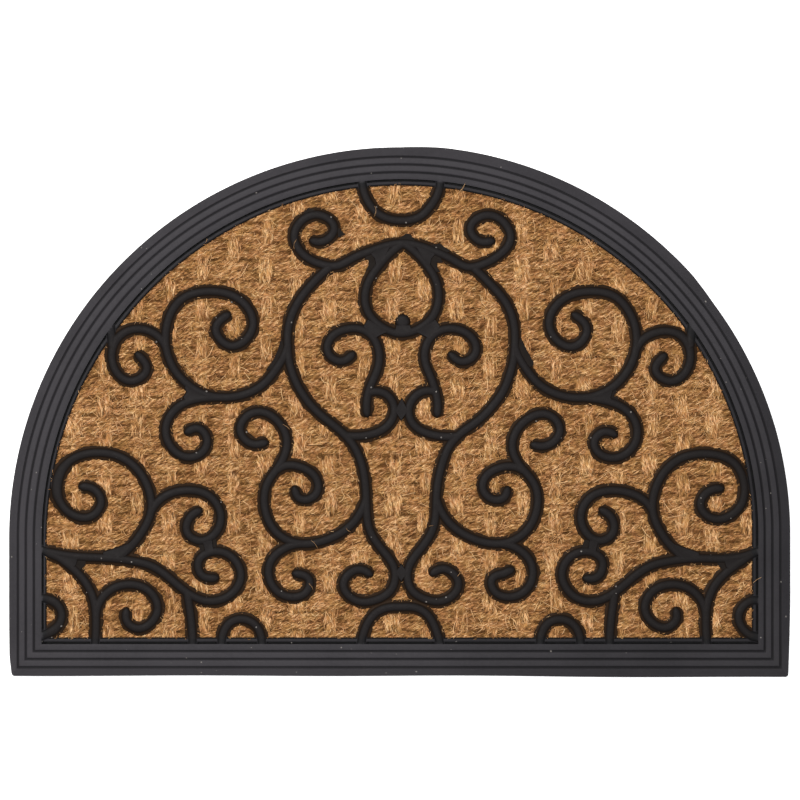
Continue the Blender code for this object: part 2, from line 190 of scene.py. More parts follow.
# Where the scrollwork was cast out of true, in millimetres
# Columns: middle, radius, shift
LEANS = (
    ((64, 138), 24, (1.9, -0.4)), ((12, 112), 24, (2.2, 0)), ((42, 52), 22, (1.4, 0.3)),
    ((108, -14), 24, (-2.2, -1.0)), ((70, -55), 16, (-1.5, 0)), ((157, -14), 12, (0, -1.6)),
    ((268, -152), 18, (-1.6, -1.8)), ((26, -165), 14, (-1.4, 0)),
    # Round the crown and the heart
    ((88, 128), 11, (1.4, -1.0)), ((44, 116), 12, (-0.4, -1.9)), ((24, 155), 8, (-0.9, 0.8)),
    ((-76, 120), 13, (-0.8, -1.2)), ((-45, 116), 10, (0.3, -1.2)), ((-27, 85), 10, (-0.8, 0)),
    # Along the great circle and its foot
    ((72, 97), 14, (-0.9, -0.9)), ((62, -2), 16, (2.4, -2.4)), ((-78, 86), 14, (1.3, -0.8)),
    ((-64, 3), 16, (-1.3, -1.3)), ((-20, -94), 12, (-1.0, -0.3)), ((10, -128), 28, (0.2, 1.3)),
    ((62, -130), 12, (-1.2, 0)), ((78, 17), 9, (0.9, -0.7)), ((30, -40), 12, (1.1, -0.4)),
    ((20, -92), 14, (0.9, -0.3)),
    # Posts and knot inside it
    ((46, 60), 15, (-0.3, -2.0)), ((15, 24), 13, (1.2, 1.8)), ((-45, 68), 12, (0.3, -1.5)),
    ((-8, 10), 12, (0.3, 1.2)), ((27, 3), 7, (1.1, 0)),
    # Shoulders and their curls
    ((101, 35), 9, (2.2, 0)), ((112, 18), 12, (0.4, 1.0)), ((195, 62), 16, (0, -1.9)),
    ((173, 82), 9, (-0.9, -0.5)), ((-100, 35), 9, (-1.7, 0)), ((-137, 52), 10, (0.8, 0.7)),
    ((-172, 16), 12, (0, 1.3)), ((150, -6), 10, (0, -1.2)), ((165, -30), 12, (-1.2, 0.3)),
    ((-178, -29), 14, (1.3, 0.9)),
    # Double scrolls and foot curls
    ((103, 0), 10, (0.2, -1.3)), ((-97, -24), 10, (-0.6, 1.2)), ((70, -66), 11, (0, 1.2)),
    ((-82, -57), 12, (1.4, 0.6)), ((-72, -68), 9, (-0.2, 0.9)), ((88, -32), 14, (-0.7, -0.2)),
    ((98, -106), 16, (-2.1, -1.2)), ((-92, -106), 14, (1.4, -1.2)),
    # Corners
    ((235, -55), 22, (0.7, -1.4)), ((188, -62), 14, (0.2, -1.8)), ((150, -72), 11, (-1.1, 0.8)),
    ((166, -90), 10, (-1.3, 0)), ((-188, -70), 14, (1.1, -1.6)), ((-228, -74), 9, (-1.2, 0.3)),
    ((-150, -68), 10, (0.6, 0.6)), ((258, -106), 16, (0, -1.9)), ((154, -120), 12, (-1.5, 0.8)),
    ((-148, -124), 12, (0.6, 1.0)), ((200, -163), 12, (0.5, 0.7)), ((-118, -161), 10, (0, -0.8)),
    ((125, -161), 10, (-0.3, -0.9)), ((128, -130), 9, (0.9, 0)), ((-194, -120), 8, (0.4, 0.7)),
    ((194, -120), 8, (-0.3, 0.7)))
# How far the lower part was cast below the drawing at the foot, and where that starts
FOOT_DROP, DROP_FROM = 1.3, 50.0
# How far the border was cast outwards, in millimetres, across its width at several turns of the arc
# Columns: turn from the right side in degrees, shift of the edge, of each groove, of the lip and inside it
CAST_INSETS = (0.0, 6.7, 12.8, 18.9, 25.6, 29.1, 35.0)
CAST_SIDES = (
    (0, -0.5, -1.2, -1.2, -1.0, 0.15, -0.6, 0), (16, 0.1, -0.3, -0.4, -0.3, 0.8, 0.2, 0),
    (37, 0.3, 0.25, 0.1, 0.25, 1.2, 0.5, 0), (42, 1.6, 0.17, 0.06, 0.2, 1.15, 0.4, 0),
    (84, 1.35, -0.24, -0.12, 0.03, 0.85, 0.05, 0), (90, 0.05, -0.3, -0.15, 0, 0.8, 0, 0),
    (142, 1.1, 1.25, 1.35, 0.8, 0.65, 0.1, 0), (180, 1.55, 1.7, 1.7, 1.6, 1.8, 2.15, 0))
# How far the foot was cast outwards at the same insets, and the lip's place in these rows
CAST_FOOT = (1.3, 0.85, 0.6, 0.6, 1.35, 0.3, 0)
LIP = 5

# Thin flash in the corners between bars and in tabs on their edges, as outlines in millimetres
FLASH = (
    ((-27, 121.8), (-20, 125), (-14, 117), (-20.5, 109), (-27, 108.6), (-25.2, 112.5), (-24.9, 115.9),
     (-27.5, 118)),
    ((29.5, 120), (32.5, 114.2), (27.4, 114.6), (27.9, 111), (30, 107.5), (24, 107), (16.5, 117), (21, 124)),
    ((150, 10.5), (160, 5.5), (167.5, 7), (167.3, 9.7), (163.7, 11.5), (165.8, 15.3), (165, 20), (150, 12.5)),
    ((-262, -109), (-250, -110), (-243, -112), (-242.8, -116.6), (-244, -119.6), (-247.5, -122.3),
     (-256, -117)),
    ((262, -109), (250, -110), (243.5, -112), (243.6, -117), (245.2, -119.7), (248.5, -122.5), (256, -117)),
    ((-154, -98.5), (-143, -97.5), (-141.9, -101.5), (-142.5, -108), (-154.5, -109), (-155.8, -103.5)),
    ((141.3, -99), (153.5, -98.5), (152.4, -104.5), (153.5, -109), (141.5, -109.5), (139.2, -104.3)),
    ((-91.5, 57), (-93.2, 53.6), (-94.9, 47.2), (-97.8, 40.8), (-100.4, 36.9), (-104, 32), (-99, 32),
     (-90, 45)),
    ((91.5, 57), (93.9, 53.6), (96.8, 47.4), (100.1, 41.2), (102.2, 37.8), (101.5, 35), (98, 34), (90, 45)),
    ((-49, 142), (-43, 136.2), (-48.5, 133.8)), ((-75, 152.5), (-71.2, 156.9), (-66, 154.5), (-70, 150)),
    ((-1.5, 132.5), (3.8, 136.9), (7.4, 136.3), (10.5, 131.5), (4, 129)),
    ((21.5, 127.5), (30, 129.6), (33.3, 126.6), (38.5, 123.5), (30, 120)))
# Height of this flash above the floor
FLASH_TOP = 8.75

# Half of a bar's section, from its foot over the thin flash to the crest, in millimetres
# Columns: across from the centre line, height above the floor
BAR_SECTION = (
    (5.35, 6.4), (5.35, 7.4), (4.95, 7.7), (3.9, 7.9), (3.45, 8.35), (2.9, 8.85), (2.1, 9.25), (1.2, 9.56),
    (0.35, 9.7))
BAR_FOOT = 6.4
BAR_STEP = 2.0
# Turns of the rounded tip of a bar, in degrees
TIP_TURNS = (22, 42, 58, 72, 84)
TIP_LEAST_HEIGHT = 0.45
BEAD_CENTRE = (1.2, 69.3)
BEAD_RADIUS = 6.3
FLASH_FROM = 4.5 * MM

# Steps of the border along its straight runs and round half of its arc
BORDER_STEP = 4.0 * MM
ARC_STEPS = 140
WELD = 0.01 * MM

# Where the yarn pairs of the weave cross the middle of the mat
WEAVE_OFFSET = (-5.5 * MM, -11.5 * MM)
# Grid of the coir panel: steps from one yarn pair to the next, across and along the mat
PANEL_STEPS = (15, 10)
# Cell and reach of the grid that holds the distance to the nearest bar
DISTANCE_CELL = 1.0 * MM
DISTANCE_REACH = 16.0 * MM
# Height that the coir keeps under beside the rubber, so that the flash lies over it
EDGE_HEIGHT = 7.0 * MM

# Stage: the camera looks straight down, at the photo's framing
CAMERA_HEIGHT = 3.0
VIEW_WIDTH = 0.6158
VIEW_CENTRE = (-0.0008, 0.0087)
FLOOR_HALF_SIZE = 4.0
FLOOR_GLOW = 0.65

# Longer fibres tried on the yarns, and short ones that fray at the rubber's edges
LOOSE_COUNT, EDGE_COUNT = 1700, 3000
# Single fibres that lie across the rubber or stand out of the coir, in millimetres
# Columns: start, middle, end, thickness, tone from dark 0 to light 1
STRAY_FIBRES = (
    ((-21.0, 158.2), (-19.3, 154.7), (-21.3, 148.8), 0.28, 0.75),
    ((41.6, 166.4), (46.5, 170.5), (49.8, 176.7), 0.35, 0.85),
    ((-54.7, 155.8), (-50.0, 158.2), (-45.0, 158.9), 0.35, 0.9),
    ((-82.1, 123.7), (-82.4, 128.5), (-80.1, 132.7), 0.28, 0.65),
    ((-58.0, 99.2), (-55.6, 106.0), (-50.7, 107.0), 0.3, 0.7),
    ((-70.0, -99.1), (-66.2, -102.0), (-63.9, -106.8), 0.3, 0.7),
    ((-42.4, -89.9), (-40.5, -91.9), (-38.5, -92.9), 0.3, 0.7),
    ((-71.6, -132.2), (-69.2, -134.4), (-67.8, -137.6), 0.3, 0.7),
    ((-252.6, -148.4), (-252.2, -153.0), (-251.0, -157.6), 0.75, 1.0),
    ((-91.6, -9.8), (-88.2, -11.6), (-85.5, -14.4), 0.28, 0.7),
    ((-149.4, 133.4), (-149.8, 131.4), (-150.9, 129.6), 0.28, 0.8),
    ((270.8, -132.8), (273.7, -129.8), (278.1, -127.4), 0.3, 0.8),
    ((20.9, -88.8), (23.0, -88.2), (25.1, -88.1), 0.28, 0.6),
    ((43.0, -127.3), (44.6, -125.6), (45.7, -123.2), 0.3, 0.7),
)


def length_of(label, says, millimetres):
    """Property for a length."""
    return FloatProperty(name=label, description=says, default=millimetres * MM, unit='LENGTH')


def colour_of(label, says, *colour):
    """Property for a colour."""
    return FloatVectorProperty(name=label, description=says, default=colour, subtype='COLOR')


class RubberSizes(bpy.types.PropertyGroup):
    """Sizes of the rubber moulding."""
    outer_rib: length_of("Outer rib", "Width of the sloping outer rib", 6.7)
    rib_pitch: length_of("Rib pitch", "From one rib to the next", 6.1)
    groove_width: length_of("Groove width", "Width of a groove at its top", 2.1)
    groove_depth: length_of("Groove depth", "Depth of a groove", 1.2)
    edge_height: length_of("Edge height", "Height of the mat's outer wall", 5.8)
    ledge_width: length_of("Ledge width", "Width of the low ledge inside the ribs", 4.1)
    ledge_height: length_of("Ledge height", "Height of the ledge's top", 8.3)
    slot_inset: length_of("Slot inset", "How far inside the outline the coir starts, under the ledge", 22.0)
    skin: length_of("Skin", "Thickness of the backing under the coir", 2.0)
    flash_unevenness: length_of("Flash unevenness", "How far the thin edges of the bars wander", 0.75)
    corner_rounding: length_of("Corner rounding", "Rounding of the two lower corners", 2.2)


class CoirSizes(bpy.types.PropertyGroup):
    """Sizes of the woven coir and its fibres."""
    warp_pitch: length_of("Warp pitch", "From one pair of warp yarns to the next", 24.7)
    weft_pitch: length_of("Weft pitch", "From one pair of weft yarns to the next", 15.0)
    warp_width: length_of("Warp width", "Width of a pair of warp yarns", 12.6)
    floor_height: length_of("Floor height", "Height of the deepest hollows between the yarns", 5.8)
    yarn_relief: length_of("Yarn relief", "How far a yarn stands out of the hollows", 1.7)
    strand_relief: length_of("Strand relief", "How far a twisted strand stands out of its creases", 0.6)
    strand_width: length_of("Strand width", "From one twisted strand of a yarn to the next", 2.7)
    twist: FloatProperty(
        name="Twist", description="Angle of the strands to the weft yarn", default=math.radians(26),
        subtype='ANGLE')
    warp_rise: length_of("Warp rise", "How far a warp float rises over the weft", 0.75)
    weft_rise: length_of("Weft rise", "How far a weft float rises over the warp", 0.45)
    fibre_length: length_of("Fibre length", "Length of a coir fibre that shows", 6.8)
    fibre_thickness: length_of("Fibre thickness", "Thickness of a coir fibre", 0.75)
    fibre_count: IntProperty(
        name="Fibre count", description="Number of fibres laid on the yarns", default=66000)
    unruly_share: FloatProperty(
        name="Unruly share", description="Share of the fibres that leave their strand", default=0.14,
        subtype='FACTOR')


class Colours(bpy.types.PropertyGroup):
    """Colours of the rubber, the coir and the floor."""
    rubber: colour_of("Rubber", "Clean black rubber", 0.002, 0.002, 0.0022)
    # The dusty colour also gives the painted highlight on the bars' crests
    rubber_dust: colour_of("Dusty rubber", "Rubber greyed by dust and handling", 0.0335, 0.0312, 0.0347)
    # The stained colour is partly a stain of coir dust and partly painted shade of the coir beside the bars
    rubber_stain_and_shade: colour_of("Stained rubber", "Rubber that coir dust has stained brown", 0.016, 0.008, 0.0033)
    # The dark coir colour also gives the painted shade in the weave's hollows and creases
    coir_dark_and_shade: colour_of("Dark coir", "Coir deep in the weave", 0.085, 0.034, 0.008)
    coir_middle: colour_of("Coir", "Most of the coir", 0.40, 0.196, 0.068)
    coir_light: colour_of("Light coir", "The palest fibres", 0.67, 0.43, 0.22)
    floor: colour_of("Floor", "The pale floor", 0.9, 0.9, 0.9)


def smooth_step(value):
    """0 below 0, 1 above 1, and an even S between."""
    held = np.clip(value, 0.0, 1.0)
    return held * held * (3.0 - 2.0 * held)


def inset_at(x, y):
    """How far inside the mat's outline each point lies."""
    side = np.where(y > ARC_Y, RADIUS - np.hypot(x, y - ARC_Y), RADIUS - np.abs(x))
    return np.minimum(side, y + MAT_DEPTH / 2)


def side_spread(x, round_y, inset):
    """How far the border's side and arc were cast outwards, in millimetres."""
    turn = np.degrees(np.arctan2(round_y, x))
    turns, *shifts = zip(*CAST_SIDES)
    shifts = np.stack([np.interp(turn, turns, row) for row in shifts])
    step = np.clip(np.searchsorted(CAST_INSETS, inset), 1, len(CAST_INSETS) - 1)
    ends = np.array(CAST_INSETS)
    share = smooth_step((inset - ends[step - 1]) / (ends[step] - ends[step - 1]))
    points = np.arange(len(turn))
    return shifts[step - 1, points] * (1 - share) + shifts[step, points] * share


def cast_inset(x, y):
    """As inset_at, from the border's lip as it was cast."""
    flat_x, flat_y = np.ravel(x) / MM, np.ravel(y) / MM
    round_y = np.maximum(flat_y - ARC_Y / MM, 0)
    lip = np.full_like(flat_x, CAST_INSETS[LIP])
    side = RADIUS / MM - np.hypot(flat_x, round_y) + side_spread(flat_x, round_y, lip)
    foot = flat_y + MAT_DEPTH / 2 / MM + CAST_FOOT[LIP]
    return np.minimum(side, foot).reshape(np.shape(x)) * MM


def smooth_path(way_points, step):
    """Points and headings about one step apart on a cubic spline through the way points."""
    points = np.array(way_points, float) * MM
    if len(points) == 2:
        points = np.array([points[0], points.mean(axis=0), points[1]])
    count = len(points)
    span = np.linalg.norm(np.diff(points, axis=0), axis=1)
    knots = np.concatenate([[0.0], np.cumsum(span)])
    slopes = np.diff(points, axis=0) / span[:, None]
    system = np.zeros((count, count))
    right_side = np.zeros((count, 2))
    for i in range(1, count - 1):
        system[i, i - 1:i + 2] = span[i - 1], 2 * (span[i - 1] + span[i]), span[i]
        right_side[i] = 6 * (slopes[i] - slopes[i - 1])
    # The end stretches keep the bend of the points beside them
    system[0, :2] = 1, -1
    system[-1, -2:] = -1, 1
    bend = np.linalg.solve(system, right_side)
    ways = np.linspace(0, knots[-1], max(2, round(knots[-1] / (step * MM))) + 1)
    part = np.clip(np.searchsorted(knots, ways) - 1, 0, count - 2)
    h = span[part][:, None]
    after = (ways - knots[part])[:, None]
    before = h - after
    first, last = bend[part], bend[part + 1]
    place = (first * before ** 3 + last * after ** 3) / (6 * h)
    place += (points[part] / h - first * h / 6) * before + (points[part + 1] / h - last * h / 6) * after
    heading = (last * after ** 2 - first * before ** 2) / (2 * h) + slopes[part] - (last - first) * h / 6
    return place, heading / np.linalg.norm(heading, axis=1)[:, None]


def as_cast(places):
    """Places of the scrollwork with the departures of the real casting from its drawing."""
    x, y = places.T / MM
    shift = np.zeros_like(places)
    for (middle_x, middle_y), radius, lean in LEANS:
        share = np.exp(-((x - middle_x) ** 2 + (y - middle_y) ** 2) / (2 * radius ** 2))
        shift += share[:, None] * lean
    shift[:, 1] -= FOOT_DROP * np.clip((DROP_FROM - y) / (DROP_FROM + MAT_DEPTH / 2 / MM), 0, 1)
    return places + shift * MM


def bar_paths(step):
    """(name, places, headings, first end free, last end free) of every bar, both halves."""
    for name, through_axis, first_free, last_free, points in SCROLLWORK:
        mirrored = tuple((-x, y) for x, y in points)
        if through_axis and points[0][0] >= 0:
            halves = [points]
        elif through_axis:
            halves = [points + mirrored[-2::-1]]
        else:
            halves = [points, mirrored]
        for number, way_points in enumerate(halves):
            places, headings = smooth_path(way_points, step)
            yield f"{name} {number}", as_cast(places), headings, first_free, last_free


def new_object(name, mesh, material):
    """Object at the origin with one material."""
    obj = bpy.data.objects.new(name, mesh)
    bpy.context.scene.collection.objects.link(obj)
    mesh.materials.append(material)
    return obj


def mesh_from(bm, name):
    """Mesh of a bmesh, its faces turned outwards."""
    bmesh.ops.recalc_face_normals(bm, faces=bm.faces)
    mesh = bpy.data.meshes.new(name)
    bm.to_mesh(mesh)
    bm.free()
    return mesh


def new_point_values(mesh, name, values):
    """Stores one value for each point of a mesh, for its material to read."""
    mesh.attributes.new(name, 'FLOAT', 'POINT').data.foreach_set("value", np.asarray(values, np.float32))


def points_of(mesh):
    """Places of a mesh's points, one to a row."""
    flat = np.empty(len(mesh.vertices) * 3, np.float32)
    mesh.vertices.foreach_get("co", flat)
    return flat.reshape(-1, 3).astype(float)


def chain(bm, points):
    """Edges that join the points in a row."""
    verts = [bm.verts.new(point) for point in points]
    return [bm.edges.new(pair) for pair in zip(verts, verts[1:])]


def extrude_on(bm, edges, matrix):
    """Extrudes edges and moves the new ones by a matrix; returns the new edges and points."""
    made = bmesh.ops.extrude_edge_only(bm, edges=edges)["geom"]
    verts = [part for part in made if isinstance(part, bmesh.types.BMVert)]
    fresh = set(verts)
    bmesh.ops.transform(bm, matrix=matrix, verts=verts)
    rims = [part for part in made if isinstance(part, bmesh.types.BMEdge) and fresh.issuperset(part.verts)]
    return rims, verts


def bar_frame(place, heading, scale):
    """Matrix from a section's (across, along, height over the foot) to the mat."""
    height_scale = TIP_LEAST_HEIGHT + (1 - TIP_LEAST_HEIGHT) * scale
    return Matrix((
        (-heading[1] * scale, heading[0], 0, place[0]),
        (heading[0] * scale, heading[1], 0, place[1]),
        (0, 0, height_scale, BAR_FOOT * MM),
        (0, 0, 0, 1)))


def bar_frames(places, headings, first_free, last_free):
    """Frames along a bar, drawn in to a rounded tip at each free end."""
    half_width = BAR_SECTION[0][0] * MM
    frames = [bar_frame(place, heading, 1.0) for place, heading in zip(places, headings)]
    turns = [math.radians(turn) for turn in TIP_TURNS]
    if first_free:
        tip = [bar_frame(places[0] - headings[0] * half_width * math.sin(turn), headings[0], math.cos(turn))
               for turn in turns]
        frames = tip[::-1] + frames
    if last_free:
        frames += [bar_frame(places[-1] + headings[-1] * half_width * math.sin(turn), headings[-1],
                             math.cos(turn)) for turn in turns]
    return frames


def uneven(point, size):
    """Smooth random number from -1 to 1 that changes over about the given size."""
    return noise.noise(point / size)


def sweep_bar(bm, frames, unevenness):
    """Extrudes the bar's section along its frames, with ragged flash on both sides."""
    half = [Vector((across * MM, 0, (height - BAR_FOOT) * MM)) for across, height in BAR_SECTION]
    section = half + [Vector((-point.x, 0, point.z)) for point in reversed(half)]
    verts = [bm.verts.new(frames[0] @ point) for point in section]
    rims = [bm.edges.new(pair) for pair in zip(verts, verts[1:] + verts[:1])]
    bmesh.ops.edgeloop_fill(bm, edges=rims)
    flash = []
    for number, matrix in enumerate(frames):
        if number:
            rims, verts = extrude_on(bm, rims, matrix @ frames[number - 1].inverted())
        for vert in verts:
            reach = (matrix.inverted() @ vert.co).x
            if abs(reach) > FLASH_FROM:
                flash.append((vert, matrix.to_3x3().col[0] * math.copysign(1, reach), matrix.translation))
    bmesh.ops.edgeloop_fill(bm, edges=rims)
    for vert, outward, middle in flash:
        edge = middle + outward * BAR_SECTION[0][0] * MM
        wander = 0.8 * uneven(edge, 7 * MM) + 1.2 * uneven(edge + Vector((3, 1, 2)), 2.0 * MM)
        vert.co += outward * unevenness * wander


def build_bead(bm):
    """Small dome that sits on the heart's lowest point."""
    radius = BEAD_RADIUS * MM
    top = (BAR_SECTION[-1][1] - BAR_FOOT) * MM
    quarter = [(radius, 0), (radius * 0.97, top * 0.4), (radius * 0.82, top * 0.74),
               (radius * 0.5, top * 0.95), (0, top)]
    spun = chain(bm, [Vector((x, 0, z)) for x, z in [(0, 0)] + quarter])
    parts = spun + list({vert for edge in spun for vert in edge.verts})
    bmesh.ops.spin(bm, geom=parts, cent=(0, 0, 0), axis=(0, 0, 1), angle=2 * math.pi, steps=28,
                   use_merge=True)
    bmesh.ops.remove_doubles(bm, verts=bm.verts, dist=0.01 * MM)
    place = Vector((BEAD_CENTRE[0] * MM, BEAD_CENTRE[1] * MM, BAR_FOOT * MM))
    bmesh.ops.translate(bm, vec=place, verts=bm.verts)


def border_profile(sizes):
    """(inset, height) from the outer foot over the ribs, across the ledge and into the coir slot."""
    top = MAT_THICKNESS
    half_groove = sizes.groove_width / 2
    shoulder = sizes.edge_height
    profile = [(0.0, 0.0), (0.0, shoulder * 0.5), (0.0, shoulder - 0.5 * MM), (0.15 * MM, shoulder),
               (0.6 * MM, shoulder + 0.45 * MM), (1.4 * MM, shoulder + 0.95 * MM)]
    rise = top - 0.15 * MM - profile[-1][1]
    run = sizes.outer_rib - half_groove - profile[-1][0]
    for share in (0.35, 0.7, 0.95):
        profile.append((profile[5][0] + run * share, profile[5][1] + rise * share))
    for rib in range(4):
        groove = sizes.outer_rib + rib * sizes.rib_pitch
        if rib:
            start = groove - sizes.rib_pitch + half_groove
            width = sizes.rib_pitch - sizes.groove_width
            for share, drop in ((0.0, 0.2), (0.07, 0.04), (0.15, 0.0), (0.85, 0.0), (0.93, 0.04)):
                profile.append((start + width * share, top - drop * MM))
        if rib < 3:
            profile.append((groove - half_groove, top - 0.2 * MM))
            profile.append((groove - half_groove * 0.45, top - sizes.groove_depth * 0.85))
            profile.append((groove, top - sizes.groove_depth))
            profile.append((groove + half_groove * 0.45, top - sizes.groove_depth * 0.85))
    inner = sizes.outer_rib + 3 * sizes.rib_pitch
    lip = inner + sizes.ledge_width
    ledge = ((0.0, 1.35), (0.25, -0.3), (0.45, -1.0), (1.35, -1.0), (1.6, -0.15), (1.8, 0.0), (2.9, 0.0),
             (3.2, -0.15), (3.5, -0.6))
    profile += [(inner + across * MM, sizes.ledge_height + rise * MM) for across, rise in ledge]
    flash = sizes.ledge_height - 0.7 * MM
    profile += [(lip - 0.2 * MM, flash), (lip, flash - 0.15 * MM), (lip, flash - 0.6 * MM),
                (sizes.slot_inset, flash - 0.6 * MM), (sizes.slot_inset, sizes.skin)]
    return profile


def side_strip(profile):
    """Right-hand side of the border, from the mitred corner up to the middle of the arc."""
    bm = bmesh.new()
    corner = chain(bm, [Vector((RADIUS - inset, -MAT_DEPTH / 2, height)) for inset, height in profile])
    top = extrude_along(bm, corner, Vector((0, 1, 0)), ARC_Y + MAT_DEPTH / 2)
    cut_mitre(bm, clear_inner=True)
    ends = list({vert for edge in top for vert in edge.verts})
    bmesh.ops.spin(bm, geom=top + ends, cent=(0, ARC_Y, 0), axis=(0, 0, 1), angle=math.pi / 2,
                   steps=ARC_STEPS)
    return bm


def foot_strip(profile):
    """Right-hand half of the border's foot, from the mitred corner to the middle."""
    bm = bmesh.new()
    corner = chain(bm, [Vector((RADIUS, inset - MAT_DEPTH / 2, height)) for inset, height in profile])
    extrude_along(bm, corner, Vector((-1, 0, 0)), RADIUS)
    cut_mitre(bm, clear_outer=True)
    return bm


def extrude_along(bm, rims, way, length):
    """Extrudes edges in even steps from the corner, so that both sides of the mitre meet point to point."""
    full_steps = int(length / BORDER_STEP)
    for step in [BORDER_STEP] * full_steps + [length - full_steps * BORDER_STEP]:
        if step > WELD:
            rims, _ = extrude_on(bm, rims, Matrix.Translation(way * step))
    return rims


def cut_mitre(bm, **cleared):
    """Cuts a strip at the mitre plane through the lower right corner and clears one side."""
    corner = Vector((RADIUS, -MAT_DEPTH / 2, 0))
    parts = bm.verts[:] + bm.edges[:] + bm.faces[:]
    bmesh.ops.bisect_plane(bm, geom=parts, dist=1e-7, plane_co=corner, plane_no=(1, 1, 0), **cleared)


def build_border(sizes):
    """Ribbed border, ledge, slot and backing skin, closed."""
    profile = border_profile(sizes)
    bm = side_strip(profile)
    foot = foot_strip(profile)
    foot_mesh = bpy.data.meshes.new("foot strip")
    foot.to_mesh(foot_mesh)
    foot.free()
    bm.from_mesh(foot_mesh)
    bpy.data.meshes.remove(foot_mesh)
    bmesh.ops.remove_doubles(bm, verts=bm.verts, dist=WELD)
    parts = bm.verts[:] + bm.edges[:] + bm.faces[:]
    bmesh.ops.mirror(bm, geom=parts, matrix=Matrix(), merge_dist=WELD, axis='X')
    bmesh.ops.remove_doubles(bm, verts=bm.verts, dist=WELD)
    rims = [edge for edge in bm.edges if edge.is_boundary]
    bmesh.ops.edgeloop_fill(bm, edges=[edge for edge in rims if edge.verts[0].co.z < sizes.skin / 2])
    bmesh.ops.edgeloop_fill(bm, edges=[edge for edge in rims if edge.verts[0].co.z > sizes.skin / 2])
    bmesh.ops.recalc_face_normals(bm, faces=bm.faces)
    corners = [edge for edge in bm.edges if all(is_outer_corner(vert.co) for vert in edge.verts)]
    bmesh.ops.bevel(bm, geom=corners, offset=sizes.corner_rounding, segments=4, profile=0.5,
                    affect='EDGES', material=-1)
    return mesh_from(bm, "border")


def is_outer_corner(point):
    """Whether a point lies on the upright edge at one of the two lower corners."""
    near = 0.7 * MM
    return abs(abs(point.x) - RADIUS) < near and abs(point.y + MAT_DEPTH / 2) < near


def cast_shift(points):
    """How the border departs from its drawing, as cast and as its edge was trimmed."""
    x, y = points[:, 0] / MM, points[:, 1] / MM
    round_y = np.maximum(y - ARC_Y / MM, 0)
    from_centre = np.maximum(np.hypot(x, round_y), 1)
    side = RADIUS / MM - from_centre
    foot = y + MAT_DEPTH / 2 / MM
    left = smooth_step((-x - 60) / 140)
    low = np.clip(foot / 60, 0, 1)
    left_trim = 0.6 * (1 - low) ** 2 + 1.5 * np.clip((14 - foot) / 14, 0, 1)
    right_trim = 1.5 * (1 - low) ** 1.5
    edge = 0.6 + np.where(x < 0, 0.1 * left - left_trim, -right_trim)
    outward = side_spread(x, round_y, side) + edge * (1 - smooth_step(side / 6))
    slant = 0.35 - 1.1 * smooth_step(x / 250) + 0.25 * np.sin(x / 34)
    drop = np.interp(foot, CAST_INSETS, CAST_FOOT) - slant * (1 - smooth_step(foot / 6))
    shift = np.stack([outward * x / from_centre, outward * round_y / from_centre - drop], axis=1)
    return shift * MM


def raise_outline(bm, places, top):
    """Plate with upright sides from the bars' foot up to a height; returns its upper face in a list."""
    outline = bm.faces.new([bm.verts.new((x, y, BAR_FOOT * MM)) for x, y in places])
    made = bmesh.ops.extrude_face_region(bm, geom=[outline], use_keep_orig=True)["geom"]
    raised = [part for part in made if isinstance(part, bmesh.types.BMVert)]
    bmesh.ops.translate(bm, vec=(0, 0, (top - BAR_FOOT) * MM), verts=raised)
    bmesh.ops.recalc_face_normals(bm, faces=bm.faces)
    return [part for part in made if isinstance(part, bmesh.types.BMFace)]


def build_flash(bm, corners):
    """Flat piece of flash, placed as in the casting."""
    raise_outline(bm, np.array(corners, float) * MM, FLASH_TOP)


def build_web(bm, corners):
    """Flat web between bars, with a slope round its top."""
    top = raise_outline(bm, as_cast(np.array(corners, float) * MM), BAR_SECTION[2][1])
    width, rise = WEB_FLANK
    bmesh.ops.inset_region(bm, faces=top, thickness=width * MM, depth=rise * MM, use_even_offset=False)


def dust_and_shade_on(points, sizes):
    """How grey the rubber is: dust on the ribs' tops and a painted highlight on the bars' crests, with
    painted shade in the grooves, on the bars' flanks, in the step at the ledge's foot and on the flash.
    """
    inset = inset_at(points[:, 0], points[:, 1])
    height = points[:, 2] / MM
    inner = sizes.outer_rib + 3 * sizes.rib_pitch + 0.1 * MM
    # Painted light: the outer slope along the foot, which faces away from the light, is made lighter. The
    # outer wall is darker towards the floor
    foot_slope_painted_light = smooth_step(-(points[:, 1] / MM + 170) / 20)
    outer_slope = (0.85 + 0.2 * foot_slope_painted_light) * smooth_step((height - 2) / 4)
    # Ribs: painted shade darkens the grooves against the dusty tops; the innermost rib is a little darker
    ribs = 0.33 + 0.67 * smooth_step((height - 8.9) / 0.85)
    ribs = ribs * np.where(inset > sizes.outer_rib + 2 * sizes.rib_pitch, 0.86, 1)
    border = np.where(inset < sizes.outer_rib - sizes.groove_width * 0.6, outer_slope, ribs)
    # Bars: painted highlight on the crest and painted shade down the flanks; ledge: painted shade in the step
    # at its foot
    bars = 0.17 * smooth_step((height - 8.75) / 0.8)
    ledge = 0.52 * smooth_step((height - 7.95) / 0.3)
    inside = np.where((height > 8.5) | (inset > inner + sizes.ledge_width + 0.2 * MM), bars, ledge)
    # Painted falloff of light: the rubber gets darker towards the lower right
    painted_light_falloff = 1.02 - 0.36 * smooth_step((points[:, 0] / MM - 0.9 * points[:, 1] / MM - 60) / 300)
    return np.where(inset < inner, border, inside) * painted_light_falloff


def stain_and_shade_on(points, sizes):
    """How far the rubber is tinted dark brown: a stain of coir dust, and painted shade that stands for the
    shaded coir beside the bars; most on the thin flash and the foot of the bars.
    """
    inset = inset_at(points[:, 0], points[:, 1])
    low = 1 - 0.82 * smooth_step((points[:, 2] / MM - 7.9) / 1.1)
    return np.where(inset > sizes.outer_rib + 3 * sizes.rib_pitch + sizes.ledge_width, low, 0)


